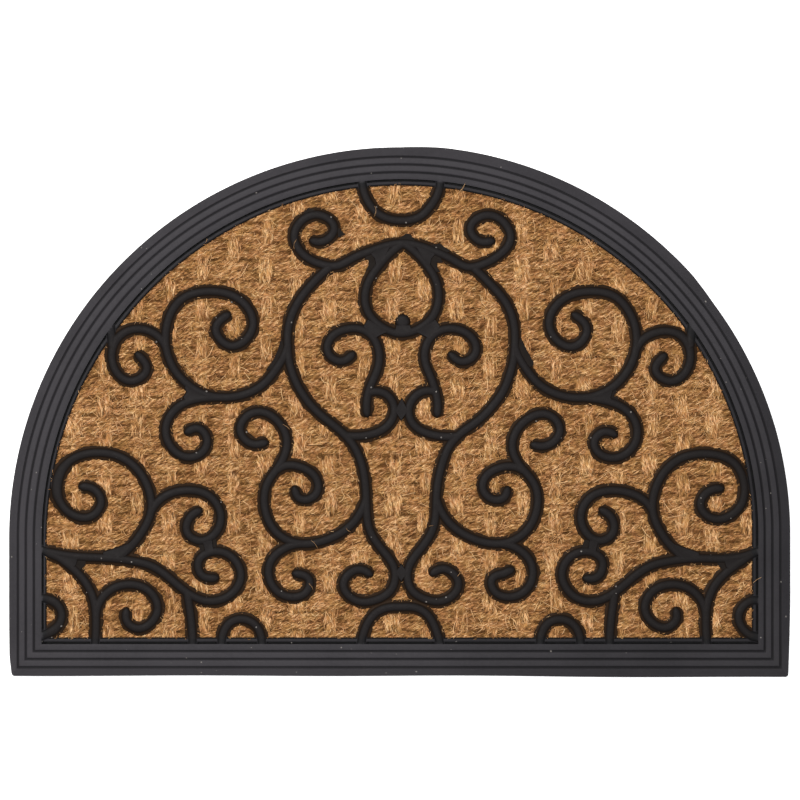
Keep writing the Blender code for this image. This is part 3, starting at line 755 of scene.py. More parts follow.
def union_of(border, bars):
    """One closed mesh of the border and every bar."""
    guides = bpy.data.collections.new("bars")
    bpy.context.scene.collection.children.link(guides)
    whole = bpy.data.objects.new("whole", border)
    bpy.context.scene.collection.objects.link(whole)
    for mesh in bars:
        guides.objects.link(bpy.data.objects.new(mesh.name, mesh))
    union = whole.modifiers.new("bars", 'BOOLEAN')
    union.operation = 'UNION'
    union.operand_type = 'COLLECTION'
    union.collection = guides
    union.use_self = True
    joined = bpy.data.meshes.new_from_object(whole.evaluated_get(bpy.context.evaluated_depsgraph_get()))
    for obj in [whole] + list(guides.objects):
        mesh = obj.data
        bpy.data.objects.remove(obj)
        bpy.data.meshes.remove(mesh)
    bpy.data.collections.remove(guides)
    return joined


def check_bars(points):
    """Stops if the union has lost a bar: every bar has crest points all along it."""
    step, lowest_crest, farthest_crest, border_width = 8.0, 9.3 * MM, 3.5 * MM, 32 * MM
    crests = points[points[:, 2] > lowest_crest]
    for name, places, _, _, _ in bar_paths(step):
        inside = places[inset_at(places[:, 0], places[:, 1]) > border_width]
        for place in inside[::2]:
            if np.hypot(*(crests[:, :2] - place).T).min() > farthest_crest:
                raise RuntimeError(f"the bar {name} is missing from the moulding near {place}")


def shape(name, build, *details):
    """Mesh of one shape that a function builds."""
    bm = bmesh.new()
    build(bm, *details)
    return mesh_from(bm, name)


def build_rubber(sizes):
    """The whole moulding as one closed mesh."""
    bars = [shape(name, sweep_bar, bar_frames(*path), sizes.flash_unevenness)
            for name, *path in bar_paths(BAR_STEP)]
    bars.append(shape("bead", build_bead))
    bars += [shape("flash", build_flash, corners) for corners in FLASH]
    for name, both_halves, corners in WEBS:
        for side in (1, -1)[:1 + both_halves]:
            bars.append(shape(f"{name} web", build_web, [(side * x, y) for x, y in corners]))
    mesh = union_of(build_border(sizes), bars)
    points = points_of(mesh)
    check_bars(points)
    new_point_values(mesh, "dust_and_shade", dust_and_shade_on(points, sizes))
    new_point_values(mesh, "stain_and_shade", stain_and_shade_on(points, sizes))
    points[:, :2] += cast_shift(points)
    mesh.vertices.foreach_set("co", points.astype(np.float32).ravel())
    mesh.shade_smooth()
    mesh.set_sharp_from_angle(angle=math.radians(38))
    return mesh


def bar_distances():
    """Distance to the nearest bar's centre line, for every cell of a grid over the mat."""
    places = np.concatenate([path[1] for path in bar_paths(1.0)])
    columns = round(MAT_WIDTH / DISTANCE_CELL) + 1
    rows = round(MAT_DEPTH / DISTANCE_CELL) + 1
    grid = np.full((rows, columns), DISTANCE_REACH)
    reach = round(DISTANCE_REACH / DISTANCE_CELL)
    window = np.arange(-reach, reach + 1)
    x, y = places[:, 0, None, None], places[:, 1, None, None]
    column = np.round((x + MAT_WIDTH / 2) / DISTANCE_CELL).astype(int) + window[None, None, :]
    row = np.round((y + MAT_DEPTH / 2) / DISTANCE_CELL).astype(int) + window[None, :, None]
    column, row = np.broadcast_arrays(column, row)
    distance = np.hypot(column * DISTANCE_CELL - MAT_WIDTH / 2 - x, row * DISTANCE_CELL - MAT_DEPTH / 2 - y)
    held = (column >= 0) & (column < columns) & (row >= 0) & (row < rows)
    np.minimum.at(grid, (row[held], column[held]), distance[held])
    return grid


def read_grid(grid, x, y):
    """Values between the grid's cells."""
    column = np.clip((x + MAT_WIDTH / 2) / DISTANCE_CELL, 0, grid.shape[1] - 1.001)
    row = np.clip((y + MAT_DEPTH / 2) / DISTANCE_CELL, 0, grid.shape[0] - 1.001)
    left, low = column.astype(int), row.astype(int)
    right_share, high_share = column - left, row - low
    lower = grid[low, left] * (1 - right_share) + grid[low, left + 1] * right_share
    upper = grid[low + 1, left] * (1 - right_share) + grid[low + 1, left + 1] * right_share
    return lower * (1 - high_share) + upper * high_share


def soft_noise(x, y, size, seed):
    """Smooth random field from about -1 to 1, made of a few waves of about the given size."""
    rng = np.random.default_rng(seed)
    total = np.zeros_like(x)
    for _ in range(6):
        turn, phase = rng.uniform(0, 2 * math.pi, 2)
        length = size * rng.uniform(0.7, 1.5)
        total += np.sin(2 * math.pi * (x * math.cos(turn) + y * math.sin(turn)) / length + phase)
    return total / 3


def yarn_pair(offset, half_width, merged):
    """Section of two yarns side by side, 0 in the hollows and 1 on the crests; merged rounds them as one."""
    across = (np.abs(offset) - half_width / 2) / (half_width / 2)
    apart = np.sqrt(np.clip(1 - across * across, 0, 1))
    together = np.sqrt(np.clip(1 - (offset / half_width) ** 2, 0, 1))
    return apart + merged * (together - apart)


def strands(along, across, slant, spacing, wander):
    """Twisted strands of a yarn, from 0 in their creases to 1 on their crests."""
    turns = (across * np.cos(slant) - along * np.sin(slant)) / spacing + wander
    return 0.5 + 0.5 * np.cos(2 * np.pi * turns)


class CoirSurface:
    """Heights of the woven coir and of the rubber over it."""

    def __init__(self, coir, rubber):
        self.coir = coir
        self.ribs_end = rubber.outer_rib + 3 * rubber.rib_pitch
        self.ledge_end = self.ribs_end + rubber.ledge_width
        self.ledge_height = rubber.ledge_height
        self.distances = bar_distances()

    def room(self, x, y):
        """Free distance to the nearest rubber edge, negative under the rubber."""
        beside_bar = read_grid(self.distances, x, y) - BAR_SECTION[0][0] * MM
        return np.minimum(beside_bar, cast_inset(x, y) - self.ledge_end)

    def weave(self, x, y):
        """(relief over the hollows, strand crest, heading of the strands, warp on top) at each point."""
        coir = self.coir
        x = x + 1.3 * MM * soft_noise(x, y, 50 * MM, 11)
        y = y + 1.1 * MM * soft_noise(x, y, 50 * MM, 12)
        column = np.round((x - WEAVE_OFFSET[0]) / coir.warp_pitch)
        row = np.round((y - WEAVE_OFFSET[1]) / coir.weft_pitch)
        u = x - WEAVE_OFFSET[0] - column * coir.warp_pitch
        v = y - WEAVE_OFFSET[1] - row * coir.weft_pitch
        over = 1 - 2 * ((column + row) % 2)
        vigour = np.abs(np.sin(column * 12.99 + row * 78.23) * 437.585) % 1
        u = u + (2.6 * MM) * (vigour - 0.5)
        warp_half = coir.warp_width / 2 * (0.72 + 0.38 * vigour)
        warp_bow = (0.6 + 0.7 * vigour) * over * np.cos(np.pi * v / coir.weft_pitch) + 0.2
        weft_bow = -over * np.cos(np.pi * u / coir.warp_pitch)
        drift = soft_noise(x, y, 15 * MM, 14)
        warp_slant = 0.08 + 0.36 * (vigour - 0.5)
        weft_yarn = np.abs(v) - coir.weft_pitch / 4
        warp_yarn = np.abs(u) - warp_half / 2
        wander = 0.5 * drift
        run = x + 3.1 * MM * row
        weft_strand = strands(run, weft_yarn * np.sign(v), coir.twist, coir.strand_width, wander)
        warp_strand = strands(v, warp_yarn * np.sign(u), -warp_slant, coir.strand_width, wander)
        warp = coir.yarn_relief * yarn_pair(u, warp_half, 0.35) + coir.warp_rise * warp_bow
        weft = coir.yarn_relief * yarn_pair(v, coir.weft_pitch / 2, 0.15) + coir.weft_rise * weft_bow
        warp_on_top = (warp > weft) & (np.abs(u) < warp_half)
        strand = np.where(warp_on_top, warp_strand, weft_strand)
        relief = np.maximum(np.where(warp_on_top, warp, weft), 0) + coir.strand_relief * strand
        turning = np.sqrt(np.clip(1 - (weft_yarn / (coir.weft_pitch / 4)) ** 2, 0, 1))
        weft_heading = coir.twist * turning + 0.13 * drift
        heading = np.where(warp_on_top, math.pi / 2 + warp_slant + 0.2 * drift, weft_heading)
        return relief, strand, heading, warp_on_top

    def depth_share(self, relief):
        """Relief as a share of the tallest, from 0 in the hollows to 1."""
        coir = self.coir
        return np.clip(relief / (coir.yarn_relief + coir.warp_rise + coir.strand_relief), 0, 1)

    def coir_height(self, x, y):
        relief = self.weave(x, y)[0]
        open_share = smooth_step(self.room(x, y) / (6 * MM) + 0.15)
        lumps = 0.25 * MM * soft_noise(x, y, 45 * MM, 13)
        return self.coir.floor_height + relief * (0.4 + 0.6 * open_share) + open_share * lumps

    def top_height(self, x, y):
        """Height of whatever lies on top, coir or rubber."""
        from_bar = read_grid(self.distances, x, y) / MM
        crest, flash = BAR_SECTION[-1][1], BAR_SECTION[3][1]
        ridge = flash + (crest - flash) * (1 - smooth_step((from_bar - 2) / 1.4))
        bar = np.where(from_bar < BAR_SECTION[0][0], ridge, 0)
        inset = cast_inset(x, y)
        border = np.where(inset < self.ledge_end, self.ledge_height, 0)
        border = np.where(inset < self.ribs_end, MAT_THICKNESS, border)
        return np.maximum(np.maximum(bar * MM, border), self.coir_height(x, y))


def build_panel(surface, rubber):
    """Woven panel: a fine grid trimmed to the slot, raised to the yarns and closed below."""
    coir = surface.coir
    steps = [pitch / count for pitch, count in zip((coir.warp_pitch, coir.weft_pitch), PANEL_STEPS)]
    counts = [math.ceil(size / step) for size, step in zip((MAT_WIDTH, MAT_DEPTH), steps)]
    bm = bmesh.new()
    bmesh.ops.create_grid(bm, x_segments=counts[0], y_segments=counts[1], size=0.5)
    bmesh.ops.scale(bm, vec=(counts[0] * steps[0], counts[1] * steps[1], 1), verts=bm.verts)
    bmesh.ops.translate(bm, vec=(WEAVE_OFFSET[0], WEAVE_OFFSET[1], 0), verts=bm.verts)
    rim_inset = rubber.slot_inset + 0.3 * MM
    places = np.array([vert.co[:] for vert in bm.verts])
    outside = inset_at(places[:, 0], places[:, 1]) < rim_inset
    bmesh.ops.delete(bm, geom=[vert for vert, out in zip(bm.verts, outside) if out], context='VERTS')
    for vert in bm.verts:
        if vert.is_boundary:
            vert.co.xy = pulled_to_outline(vert.co.x, vert.co.y, rim_inset)
    places = np.array([vert.co[:] for vert in bm.verts])
    heights = surface.coir_height(places[:, 0], places[:, 1])
    for vert, height in zip(bm.verts, heights):
        vert.co.z = height
    rim = [edge for edge in bm.edges if edge.is_boundary]
    made = bmesh.ops.extrude_edge_only(bm, edges=rim)["geom"]
    foot = [part for part in made if isinstance(part, bmesh.types.BMVert)]
    for vert in foot:
        vert.co.z = rubber.skin + 0.3 * MM
    bmesh.ops.edgeloop_fill(bm, edges=[edge for edge in bm.edges if edge.is_boundary])
    mesh = mesh_from(bm, "coir_panel")
    points = points_of(mesh)
    relief, strand, _, warp_on_top = surface.weave(points[:, 0], points[:, 1])
    # Relief value that the material turns into painted shade in the hollows and creases
    new_point_values(mesh, "relief", surface.depth_share(relief) * (0.6 + 0.4 * strand))
    new_point_values(mesh, "warp", warp_on_top)
    mesh.shade_smooth()
    return mesh


def pulled_to_outline(x, y, inset):
    """The nearest point on the outline drawn in by inset."""
    if y > ARC_Y:
        way = Vector((x, y - ARC_Y)).normalized() * (RADIUS - inset)
        return way.x, way.y + ARC_Y
    if y + MAT_DEPTH / 2 < RADIUS - abs(x):
        return x, inset - MAT_DEPTH / 2
    return math.copysign(RADIUS - inset, x), y


def strand_mesh(name, points, thickness, tone):
    """One closed three-sided strand, pointed at both ends, through each row of points."""
    count, length, _ = points.shape
    inner = points[:, 1:-1]
    heading = points[:, 2:] - points[:, :-2]
    heading /= np.linalg.norm(heading, axis=2)[:, :, None]
    side = np.cross(heading, (0.0, 0.0, 1.0))
    side /= np.maximum(np.linalg.norm(side, axis=2), 1e-6)[:, :, None]
    up = np.cross(side, heading)
    rings = []
    for corner in range(3):
        turn = math.radians(90 + 120 * corner)
        rings.append(inner + thickness[:, None, None] / 2 * (side * math.cos(turn) + up * math.sin(turn)))
    rings = np.stack(rings, axis=2).reshape(count, 3 * (length - 2), 3)
    verts = np.concatenate([points[:, :1], rings, points[:, -1:]], axis=1)
    last = 3 * (length - 2) + 1
    faces = []
    for corner in range(3):
        after = (corner + 1) % 3
        faces.append((0, 1 + corner, 1 + after))
        faces.append((last, last - 3 + after, last - 3 + corner))
        for ring in range(length - 3):
            here = 1 + 3 * ring
            faces.append((here + corner, here + 3 + corner, here + 3 + after))
            faces.append((here + corner, here + 3 + after, here + after))
    per_strand = verts.shape[1]
    triangles = np.array(faces)[None] + per_strand * np.arange(count)[:, None, None]
    mesh = bpy.data.meshes.new(name)
    mesh.from_pydata(verts.reshape(-1, 3), [], triangles.reshape(-1, 3))
    new_point_values(mesh, "tone", np.repeat(tone, per_strand))
    mesh.shade_smooth()
    return mesh


def scatter(rng, surface, count, least_room, most_room=1.0):
    """Random spots on the mat whose room lies between two limits."""
    found = []
    have = 0
    while have < count:
        x = rng.uniform(-MAT_WIDTH / 2, MAT_WIDTH / 2, count)
        y = rng.uniform(-MAT_DEPTH / 2, MAT_DEPTH / 2, count)
        room = surface.room(x, y)
        kept = (room > least_room) & (room < most_room)
        found.append(np.stack([x[kept], y[kept]], axis=1))
        have += int(kept.sum())
    return np.concatenate(found)[:count]


def bent_paths(rng, middle, heading, length, bow, steps):
    """Plan of bent fibres: a row of points along each heading, bowed to one side."""
    share = np.linspace(-0.5, 0.5, steps)[None, :]
    along = share * length[:, None]
    across = bow[:, None] * (1 - 4 * share * share) + 0.12 * bow[:, None] * rng.normal(0, 1, along.shape)
    x = middle[:, :1] + along * np.cos(heading)[:, None] - across * np.sin(heading)[:, None]
    y = middle[:, 1:] + along * np.sin(heading)[:, None] + across * np.cos(heading)[:, None]
    return x, y


def yarn_fibres(surface, count, seed):
    """Fibres that lie along the strands: points, thickness, tone and whether each lies on the warp."""
    coir = surface.coir
    rng = np.random.default_rng(seed)
    middle = scatter(rng, surface, int(count * 2.4), -1.5 * MM)
    relief, strand, heading, warp_on_top = surface.weave(middle[:, 0], middle[:, 1])
    depth = surface.depth_share(relief)
    wanted = 0.25 + 0.75 * depth * (0.2 + 0.8 * strand)
    kept = np.flatnonzero(rng.uniform(0, 1, len(middle)) < wanted)[:count]
    middle, strand, heading, warp_on_top, depth = (
        values[kept] for values in (middle, strand, heading, warp_on_top, depth))
    count = len(kept)
    unruly = rng.uniform(0, 1, count) < coir.unruly_share
    heading = heading + np.where(unruly, rng.normal(0, 0.9, count), rng.normal(0, 0.13, count))
    spread = np.clip(rng.normal(1, 0.28, count), 0.35, 1.8)
    length = coir.fibre_length * spread * np.where(warp_on_top, 1.2, 1)
    x, y = bent_paths(rng, middle, heading, length, rng.normal(0, 0.6 * MM, count), 3)
    lift = rng.uniform(0.05, 0.45, count)[:, None] * MM * np.array([[-0.6, 1.0, -0.6]])
    height = surface.coir_height(x, y) + lift
    height = np.where(surface.room(x, y) < 0.8 * MM, np.minimum(height, EDGE_HEIGHT), height)
    thickness = coir.fibre_thickness * np.clip(rng.lognormal(0, 0.32, count), 0.5, 1.8)
    # Painted shade and light in the tone: darker in the hollows, in the strands' creases and beside the
    # rubber, lighter on the crests and where a fibre is lifted. The random part and the clumps are the
    # fibres' own tone; warp fibres are a little lighter
    tone = -0.16 + 0.6 * depth + 0.38 * strand + rng.normal(0, 0.1, count) + 0.22 * lift[:, 1] / MM
    tone -= 0.15 * np.exp(-np.maximum(surface.room(middle[:, 0], middle[:, 1]), 0) / (1.4 * MM))
    clump = soft_noise(middle[:, 0], middle[:, 1] * 1.8, 11 * MM, 23)
    tone += 0.09 * clump - 0.4 * smooth_step((-clump - 0.9) / 0.35) + 0.05 * warp_on_top
    tone += 0.07 * soft_noise(middle[:, 0], middle[:, 1], 70 * MM, 22)
    return np.stack([x, y, height], axis=2), thickness, np.clip(tone, 0, 1), warp_on_top


def loose_fibres(surface, count, seed):
    """Longer fibres that have worked loose from the yarns and curl any way on them."""
    rng = np.random.default_rng(seed)
    middle = scatter(rng, surface, count, 3.0 * MM)
    heading = rng.uniform(0, math.pi, count)
    length = 10 * MM * np.clip(rng.normal(1, 0.35, count), 0.4, 2.0)
    x, y = bent_paths(rng, middle, heading, length, rng.normal(0, 1.3 * MM, count), 7)
    lift = rng.uniform(0.2, 0.9, count)[:, None] * MM * np.sin(np.linspace(0, math.pi, 7))[None, :] - 0.1 * MM
    height = surface.coir_height(x, y) + 0.3 * MM + lift
    inside = surface.room(x, y).min(axis=1) > 0.4 * MM
    thickness = surface.coir.fibre_thickness * 0.85 * np.clip(rng.normal(1, 0.2, count), 0.5, 1.5)
    tone = np.clip(rng.normal(0.66, 0.16, count), 0, 1)
    return np.stack([x, y, height], axis=2)[inside], thickness[inside], tone[inside]


def edge_fibres(surface, count, seed):
    """Short fibres that fray from the coir over the flash of the bars and over the ledge."""
    rng = np.random.default_rng(seed)
    middle = scatter(rng, surface, count, -1.0 * MM, 0.9 * MM)
    length = rng.uniform(1.6, 4.0, count) * MM
    x, y = bent_paths(rng, middle, rng.uniform(0, math.pi, count), length, rng.normal(0, 0.4 * MM, count), 5)
    shape = np.array([[-0.25, 0.05, 0.12, 0.05, -0.1]]) * MM
    height = surface.top_height(x, y) + 0.12 * MM + shape
    height = np.minimum(height, height.min(axis=1)[:, None] + 1.0 * MM)
    thickness = 0.36 * MM * np.clip(rng.normal(1, 0.25, count), 0.5, 1.6)
    tone = np.clip(rng.normal(0.45, 0.2, count), 0, 1)
    return np.stack([x, y, height], axis=2), thickness, tone


def stray_fibres(surface):
    """The single fibres that the photo shows across the rubber, each bent through its middle point."""
    share = np.linspace(0, 1, 7)[:, None]
    rows = []
    for start, middle, end, _, _ in STRAY_FIBRES:
        a, b, c = (np.array(point) * MM for point in (start, middle, end))
        plan = a * (1 - share) * (1 - 2 * share) + b * 4 * share * (1 - share) + c * share * (2 * share - 1)
        height = surface.top_height(plan[:, 0], plan[:, 1])
        height = np.maximum(height, height.max() - 0.9 * MM) + 0.25 * MM
        height[[0, -1]] -= 0.3 * MM
        rows.append(np.column_stack([plan, height]))
    thickness = np.array([row[3] for row in STRAY_FIBRES]) * MM
    tone = np.array([row[4] for row in STRAY_FIBRES])
    return np.stack(rows), thickness, tone


def fill(tree, node, links):
    """Fills a node's inputs, by name or number, with sockets or plain values."""
    for key, value in links.items():
        if isinstance(value, bpy.types.NodeSocket):
            tree.links.new(value, node.inputs[key])
        else:
            node.inputs[key].default_value = value
    return node


def add_node(tree, kind, links=None, **settings):
    """Adds a shader node, sets it and fills its inputs."""
    node = tree.nodes.new('ShaderNode' + kind)
    for name, value in settings.items():
        setattr(node, name, value)
    return fill(tree, node, links or {})


def add_maths(tree, operation, first, second, clamp=False):
    return add_node(tree, 'Math', {0: first, 1: second}, operation=operation, use_clamp=clamp).outputs[0]


def add_range(tree, value, low, high, to_low=0.0, to_high=1.0):
    """A value brought from one range to another and held inside it."""
    links = {'Value': value, 'From Min': low, 'From Max': high, 'To Min': to_low, 'To Max': to_high}
    return add_node(tree, 'MapRange', links).outputs[0]


def mix_colours(tree, factor, first, second):
    return add_node(tree, 'Mix', {0: factor, 6: first, 7: second}, data_type='RGBA').outputs[2]


def mix_values(tree, factor, first, second):
    return add_node(tree, 'Mix', {0: factor, 2: first, 3: second}, data_type='FLOAT').outputs[0]


def add_noise(tree, place, scale, detail, distortion=0.0):
    links = {'Vector': place, 'Scale': scale, 'Detail': detail, 'Distortion': distortion}
    return add_node(tree, 'TexNoise', links).outputs[0]


def add_bump(tree, height, strength, distance):
    return add_node(tree, 'Bump', {'Height': height, 'Strength': strength, 'Distance': distance}).outputs[0]


def read_value(tree, name):
    """One of the values that a mesh's points carry."""
    return add_node(tree, 'Attribute', attribute_name=name).outputs['Fac']


def node_group(name, inputs, output, output_kind):
    """Shader node group; returns its tree, its input sockets by name and the socket of its one output.

    Inputs maps each name to its default: None for a vector, a number or a colour."""
    kinds = {type(None): 'NodeSocketVector', float: 'NodeSocketFloat', tuple: 'NodeSocketColor'}
    group = bpy.data.node_groups.new(name, 'ShaderNodeTree')
    for label, default in inputs.items():
        socket = group.interface.new_socket(name=label, in_out='INPUT', socket_type=kinds[type(default)])
        if default is not None:
            socket.default_value = default
    group.interface.new_socket(name=output, in_out='OUTPUT', socket_type=output_kind)
    given = group.nodes.new('NodeGroupInput').outputs
    return group, given, group.nodes.new('NodeGroupOutput').inputs[output]


def mottle_group(name):
    """Uneven tone: broad patches with a finer grain over them, centred on 0.5."""
    inputs = {"Vector": None, "Patch Scale": 20.0, "Grain Scale": 300.0, "Grain Share": 0.5}
    group, given, result = node_group(name, inputs, "Value", 'NodeSocketFloat')
    patch = add_noise(group, given["Vector"], given["Patch Scale"], 3.0)
    grain = add_noise(group, given["Vector"], given["Grain Scale"], 2.0)
    group.links.new(mix_values(group, given["Grain Share"], patch, grain), result)
    return group


def speck_group(name):
    """Sparse small specks, such as dust: 1 inside a speck, 0 elsewhere."""
    inputs = {"Vector": None, "Scale": 200.0, "Share": 0.1, "Size": 0.12}
    group, given, result = node_group(name, inputs, "Mask", 'NodeSocketFloat')
    cells = add_node(group, 'TexVoronoi', {'Vector': given["Vector"], 'Scale': given["Scale"]})
    number = add_node(group, 'SeparateColor', {0: cells.outputs['Color']})
    chosen = add_maths(group, 'LESS_THAN', number.outputs[0], given["Share"])
    size = add_maths(group, 'MULTIPLY', given["Size"], number.outputs[1])
    near = add_maths(group, 'LESS_THAN', cells.outputs['Distance'], size)
    group.links.new(add_maths(group, 'MULTIPLY', chosen, near), result)
    return group


def coir_tone_group(name):
    """Colour of coir by tone, from dark 0 to light 1, drifting a little from place to place."""
    black = (0.0, 0.0, 0.0, 1.0)
    inputs = {"Vector": None, "Tone": 0.5, "Dark": black, "Middle": black, "Light": black}
    group, given, result = node_group(name, inputs, "Color", 'NodeSocketColor')
    drift = add_range(group, add_noise(group, given["Vector"], 55.0, 2.0), 0, 1, -0.16, 0.16)
    tone = add_maths(group, 'ADD', given["Tone"], drift)
    low = mix_colours(group, add_range(group, tone, 0.0, 0.5), given["Dark"], given["Middle"])
    colour = mix_colours(group, add_range(group, tone, 0.5, 1.0), low, given["Light"])
    hue = add_range(group, add_noise(group, given["Vector"], 170.0, 1.0), 0.3, 0.7, 0.495, 0.505)
    turned = add_node(group, 'HueSaturation', {'Hue': hue, 'Color': colour})
    group.links.new(turned.outputs[0], result)
    return group


NODE_GROUPS = {"Mottle": mottle_group, "Specks": speck_group, "Coir tone": coir_tone_group}


def add_group(tree, name, links):
    """Adds a shared node group, built the first time it is asked for; returns its output."""
    node = add_node(tree, 'Group', node_tree=bpy.data.node_groups.get(name) or NODE_GROUPS[name](name))
    return fill(tree, node, links).outputs[0]


def add_mottle(tree, place, patch, grain, share):
    links = {'Vector': place, 'Patch Scale': patch, 'Grain Scale': grain, 'Grain Share': share}
    return add_group(tree, "Mottle", links)


def new_material(name, roughness, gloss):
    """Material with its shader and a socket for the object's own coordinates."""
    material = bpy.data.materials.new(name)
    material.use_nodes = True
    tree = material.node_tree
    shader = fill(tree, tree.nodes["Principled BSDF"], {"Roughness": roughness, "Specular IOR Level": gloss})
    return material, tree, shader, add_node(tree, 'TexCoord').outputs['Object']


def with_alpha(colour):
    return (*colour, 1.0)


def rubber_material(colours):
    """Black moulded rubber, greyed with dust and a painted highlight on its tops, browned with stain and
    painted shade near the coir, with painted shade in its grooves and on its flanks, a fine grain and a few
    specks.
    """
    material, tree, shader, place = new_material("moulded rubber", 0.6, 0.08)
    patches = add_range(tree, add_mottle(tree, place, 22.0, 420.0, 0.35), 0.3, 0.7, 0.8, 1.15)
    dust_and_shade = add_maths(tree, 'MULTIPLY', read_value(tree, "dust_and_shade"), patches, clamp=True)
    # Brown of the stain and of painted shade near the coir, then grey of dust and painted highlight
    stain_and_shade = read_value(tree, "stain_and_shade")
    colour = mix_colours(tree, stain_and_shade, with_alpha(colours.rubber), with_alpha(colours.rubber_stain_and_shade))
    colour = mix_colours(tree, dust_and_shade, colour, with_alpha(colours.rubber_dust))
    speck = add_group(tree, "Specks", {'Vector': place, 'Scale': 260.0, 'Share': 0.07, 'Size': 0.2})
    colour = mix_colours(tree, add_maths(tree, 'MULTIPLY', speck, 0.55), colour, (0.24, 0.22, 0.2, 1))
    grain = add_mottle(tree, place, 260.0, 1500.0, 0.5)
    fill(tree, shader, {"Base Color": colour, "Roughness": add_range(tree, grain, 0.3, 0.7, 0.5, 0.7),
                        "Normal": add_bump(tree, grain, 0.35, 0.25 * MM)})
    return material


def coir_colour(tree, place, tone, colours):
    """Colour of the coir for a tone, from the add-on's three coir colours."""
    shades = {'Dark': colours.coir_dark_and_shade, 'Middle': colours.coir_middle, 'Light': colours.coir_light}
    shades = {label: with_alpha(colour) for label, colour in shades.items()}
    return add_group(tree, "Coir tone", {'Vector': place, 'Tone': tone, **shades})


def streaks(tree, place, stretch):
    """Fine streaks of fibre, long in one direction."""
    stretched = add_node(tree, 'Mapping', {'Vector': place, 'Scale': stretch}).outputs[0]
    return add_noise(tree, stretched, 1.0, 3.0, 0.4)


def panel_material(colours):
    """Coir yarn seen between its fibres, with painted shade in the hollows and creases, streaked along each
    yarn.
    """
    material, tree, shader, place = new_material("coir yarn", 0.85, 0.12)
    streak = mix_values(tree, read_value(tree, "warp"), streaks(tree, place, (160, 1500, 900)),
                        streaks(tree, place, (1500, 160, 900)))
    # Painted shade: darker in the hollows and creases, lighter on the crests, by the relief value
    tone = add_maths(tree, 'ADD', add_range(tree, streak, 0.3, 0.7, -0.2, 0.22),
                     add_range(tree, read_value(tree, "relief"), 0.15, 1.0, -0.1, 0.5))
    fill(tree, shader, {"Base Color": coir_colour(tree, place, tone, colours),
                        "Normal": add_bump(tree, streak, 0.9, 0.5 * MM)})
    return material


def fibre_material(colours):
    """Single coir fibres, each with a tone of its own."""
    material, tree, shader, place = new_material("coir fibre", 0.6, 0.15)
    speckle = add_mottle(tree, place, 320.0, 1400.0, 0.4)
    tone = add_maths(tree, 'ADD', read_value(tree, "tone"), add_range(tree, speckle, 0.3, 0.7, -0.1, 0.1))
    fill(tree, shader, {"Base Color": coir_colour(tree, place, tone, colours),
                        "Roughness": add_range(tree, speckle, 0.3, 0.7, 0.5, 0.72)})
    return material


class DOORMAT_OT_rubber(bpy.types.Operator):
    """Adds the rubber moulding: ribbed border, ledge, scrollwork and backing"""
    bl_idname = "doormat.rubber"
    bl_label = "Rubber moulding"

    def execute(self, context):
        mesh = build_rubber(context.scene.doormat_rubber)
        obj = new_object("moulded_rubber", mesh, rubber_material(context.scene.doormat_colours))
        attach(obj, "root")
        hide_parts("rubber_moulding")
        return {'FINISHED'}


class DOORMAT_OT_panel(bpy.types.Operator):
    """Adds the woven coir panel under the fibres"""
    bl_idname = "doormat.panel"
    bl_label = "Woven coir panel"

    def execute(self, context):
        scene = context.scene
        surface = CoirSurface(scene.doormat_coir, scene.doormat_rubber)
        mesh = build_panel(surface, scene.doormat_rubber)
        obj = new_object("coir_panel", mesh, panel_material(scene.doormat_colours))
        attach(obj, "root")
        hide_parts("coir_field")
        return {'FINISHED'}


class DOORMAT_OT_fibres(bpy.types.Operator):
    """Adds the coir fibres: along the warp and weft, loose ones, frayed edges and single strays"""
    bl_idname = "doormat.fibres"
    bl_label = "Coir fibres"

    def execute(self, context):
        scene = context.scene
        surface = CoirSurface(scene.doormat_coir, scene.doormat_rubber)
        material = fibre_material(scene.doormat_colours)
        points, thickness, tone, on_warp = yarn_fibres(surface, scene.doormat_coir.fibre_count, 1)
        left = points[:, 0, 0] < 0
        groups = (("warp_fibres", on_warp), ("weft_fibres_left", ~on_warp & left),
                  ("weft_fibres_right", ~on_warp & ~left))
        meshes = [strand_mesh(name, points[kept], thickness[kept], tone[kept]) for name, kept in groups]
        meshes.append(strand_mesh("loose_fibres", *loose_fibres(surface, LOOSE_COUNT, 2)))
        meshes.append(strand_mesh("edge_fibres", *edge_fibres(surface, EDGE_COUNT, 3)))
        meshes.append(strand_mesh("stray_fibres", *stray_fibres(surface)))
        for mesh in meshes:
            obj = new_object(mesh.name, mesh, material)
            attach(obj, "root")
        return {'FINISHED'}


class DOORMAT_OT_sheet(bpy.types.Operator):
    """Takes no step: the coir panel and its fibres stay as they are"""
    bl_idname = "doormat.sheet"
    bl_label = "Coir panel as a sheet"

    def execute(self, context):
        return {'FINISHED'}


def add_area_light(name, place, size, power, colour):
    """Round soft light that faces the mat."""
    light = bpy.data.lights.new(name, 'AREA')
    light.shape = 'DISK'
    light.size = size
    light.energy = power
    light.color = colour
    obj = bpy.data.objects.new(name, light)
    obj.location = place
    obj.rotation_euler = (-Vector(place)).to_track_quat('-Z', 'Y').to_euler()
    bpy.context.scene.collection.objects.link(obj)


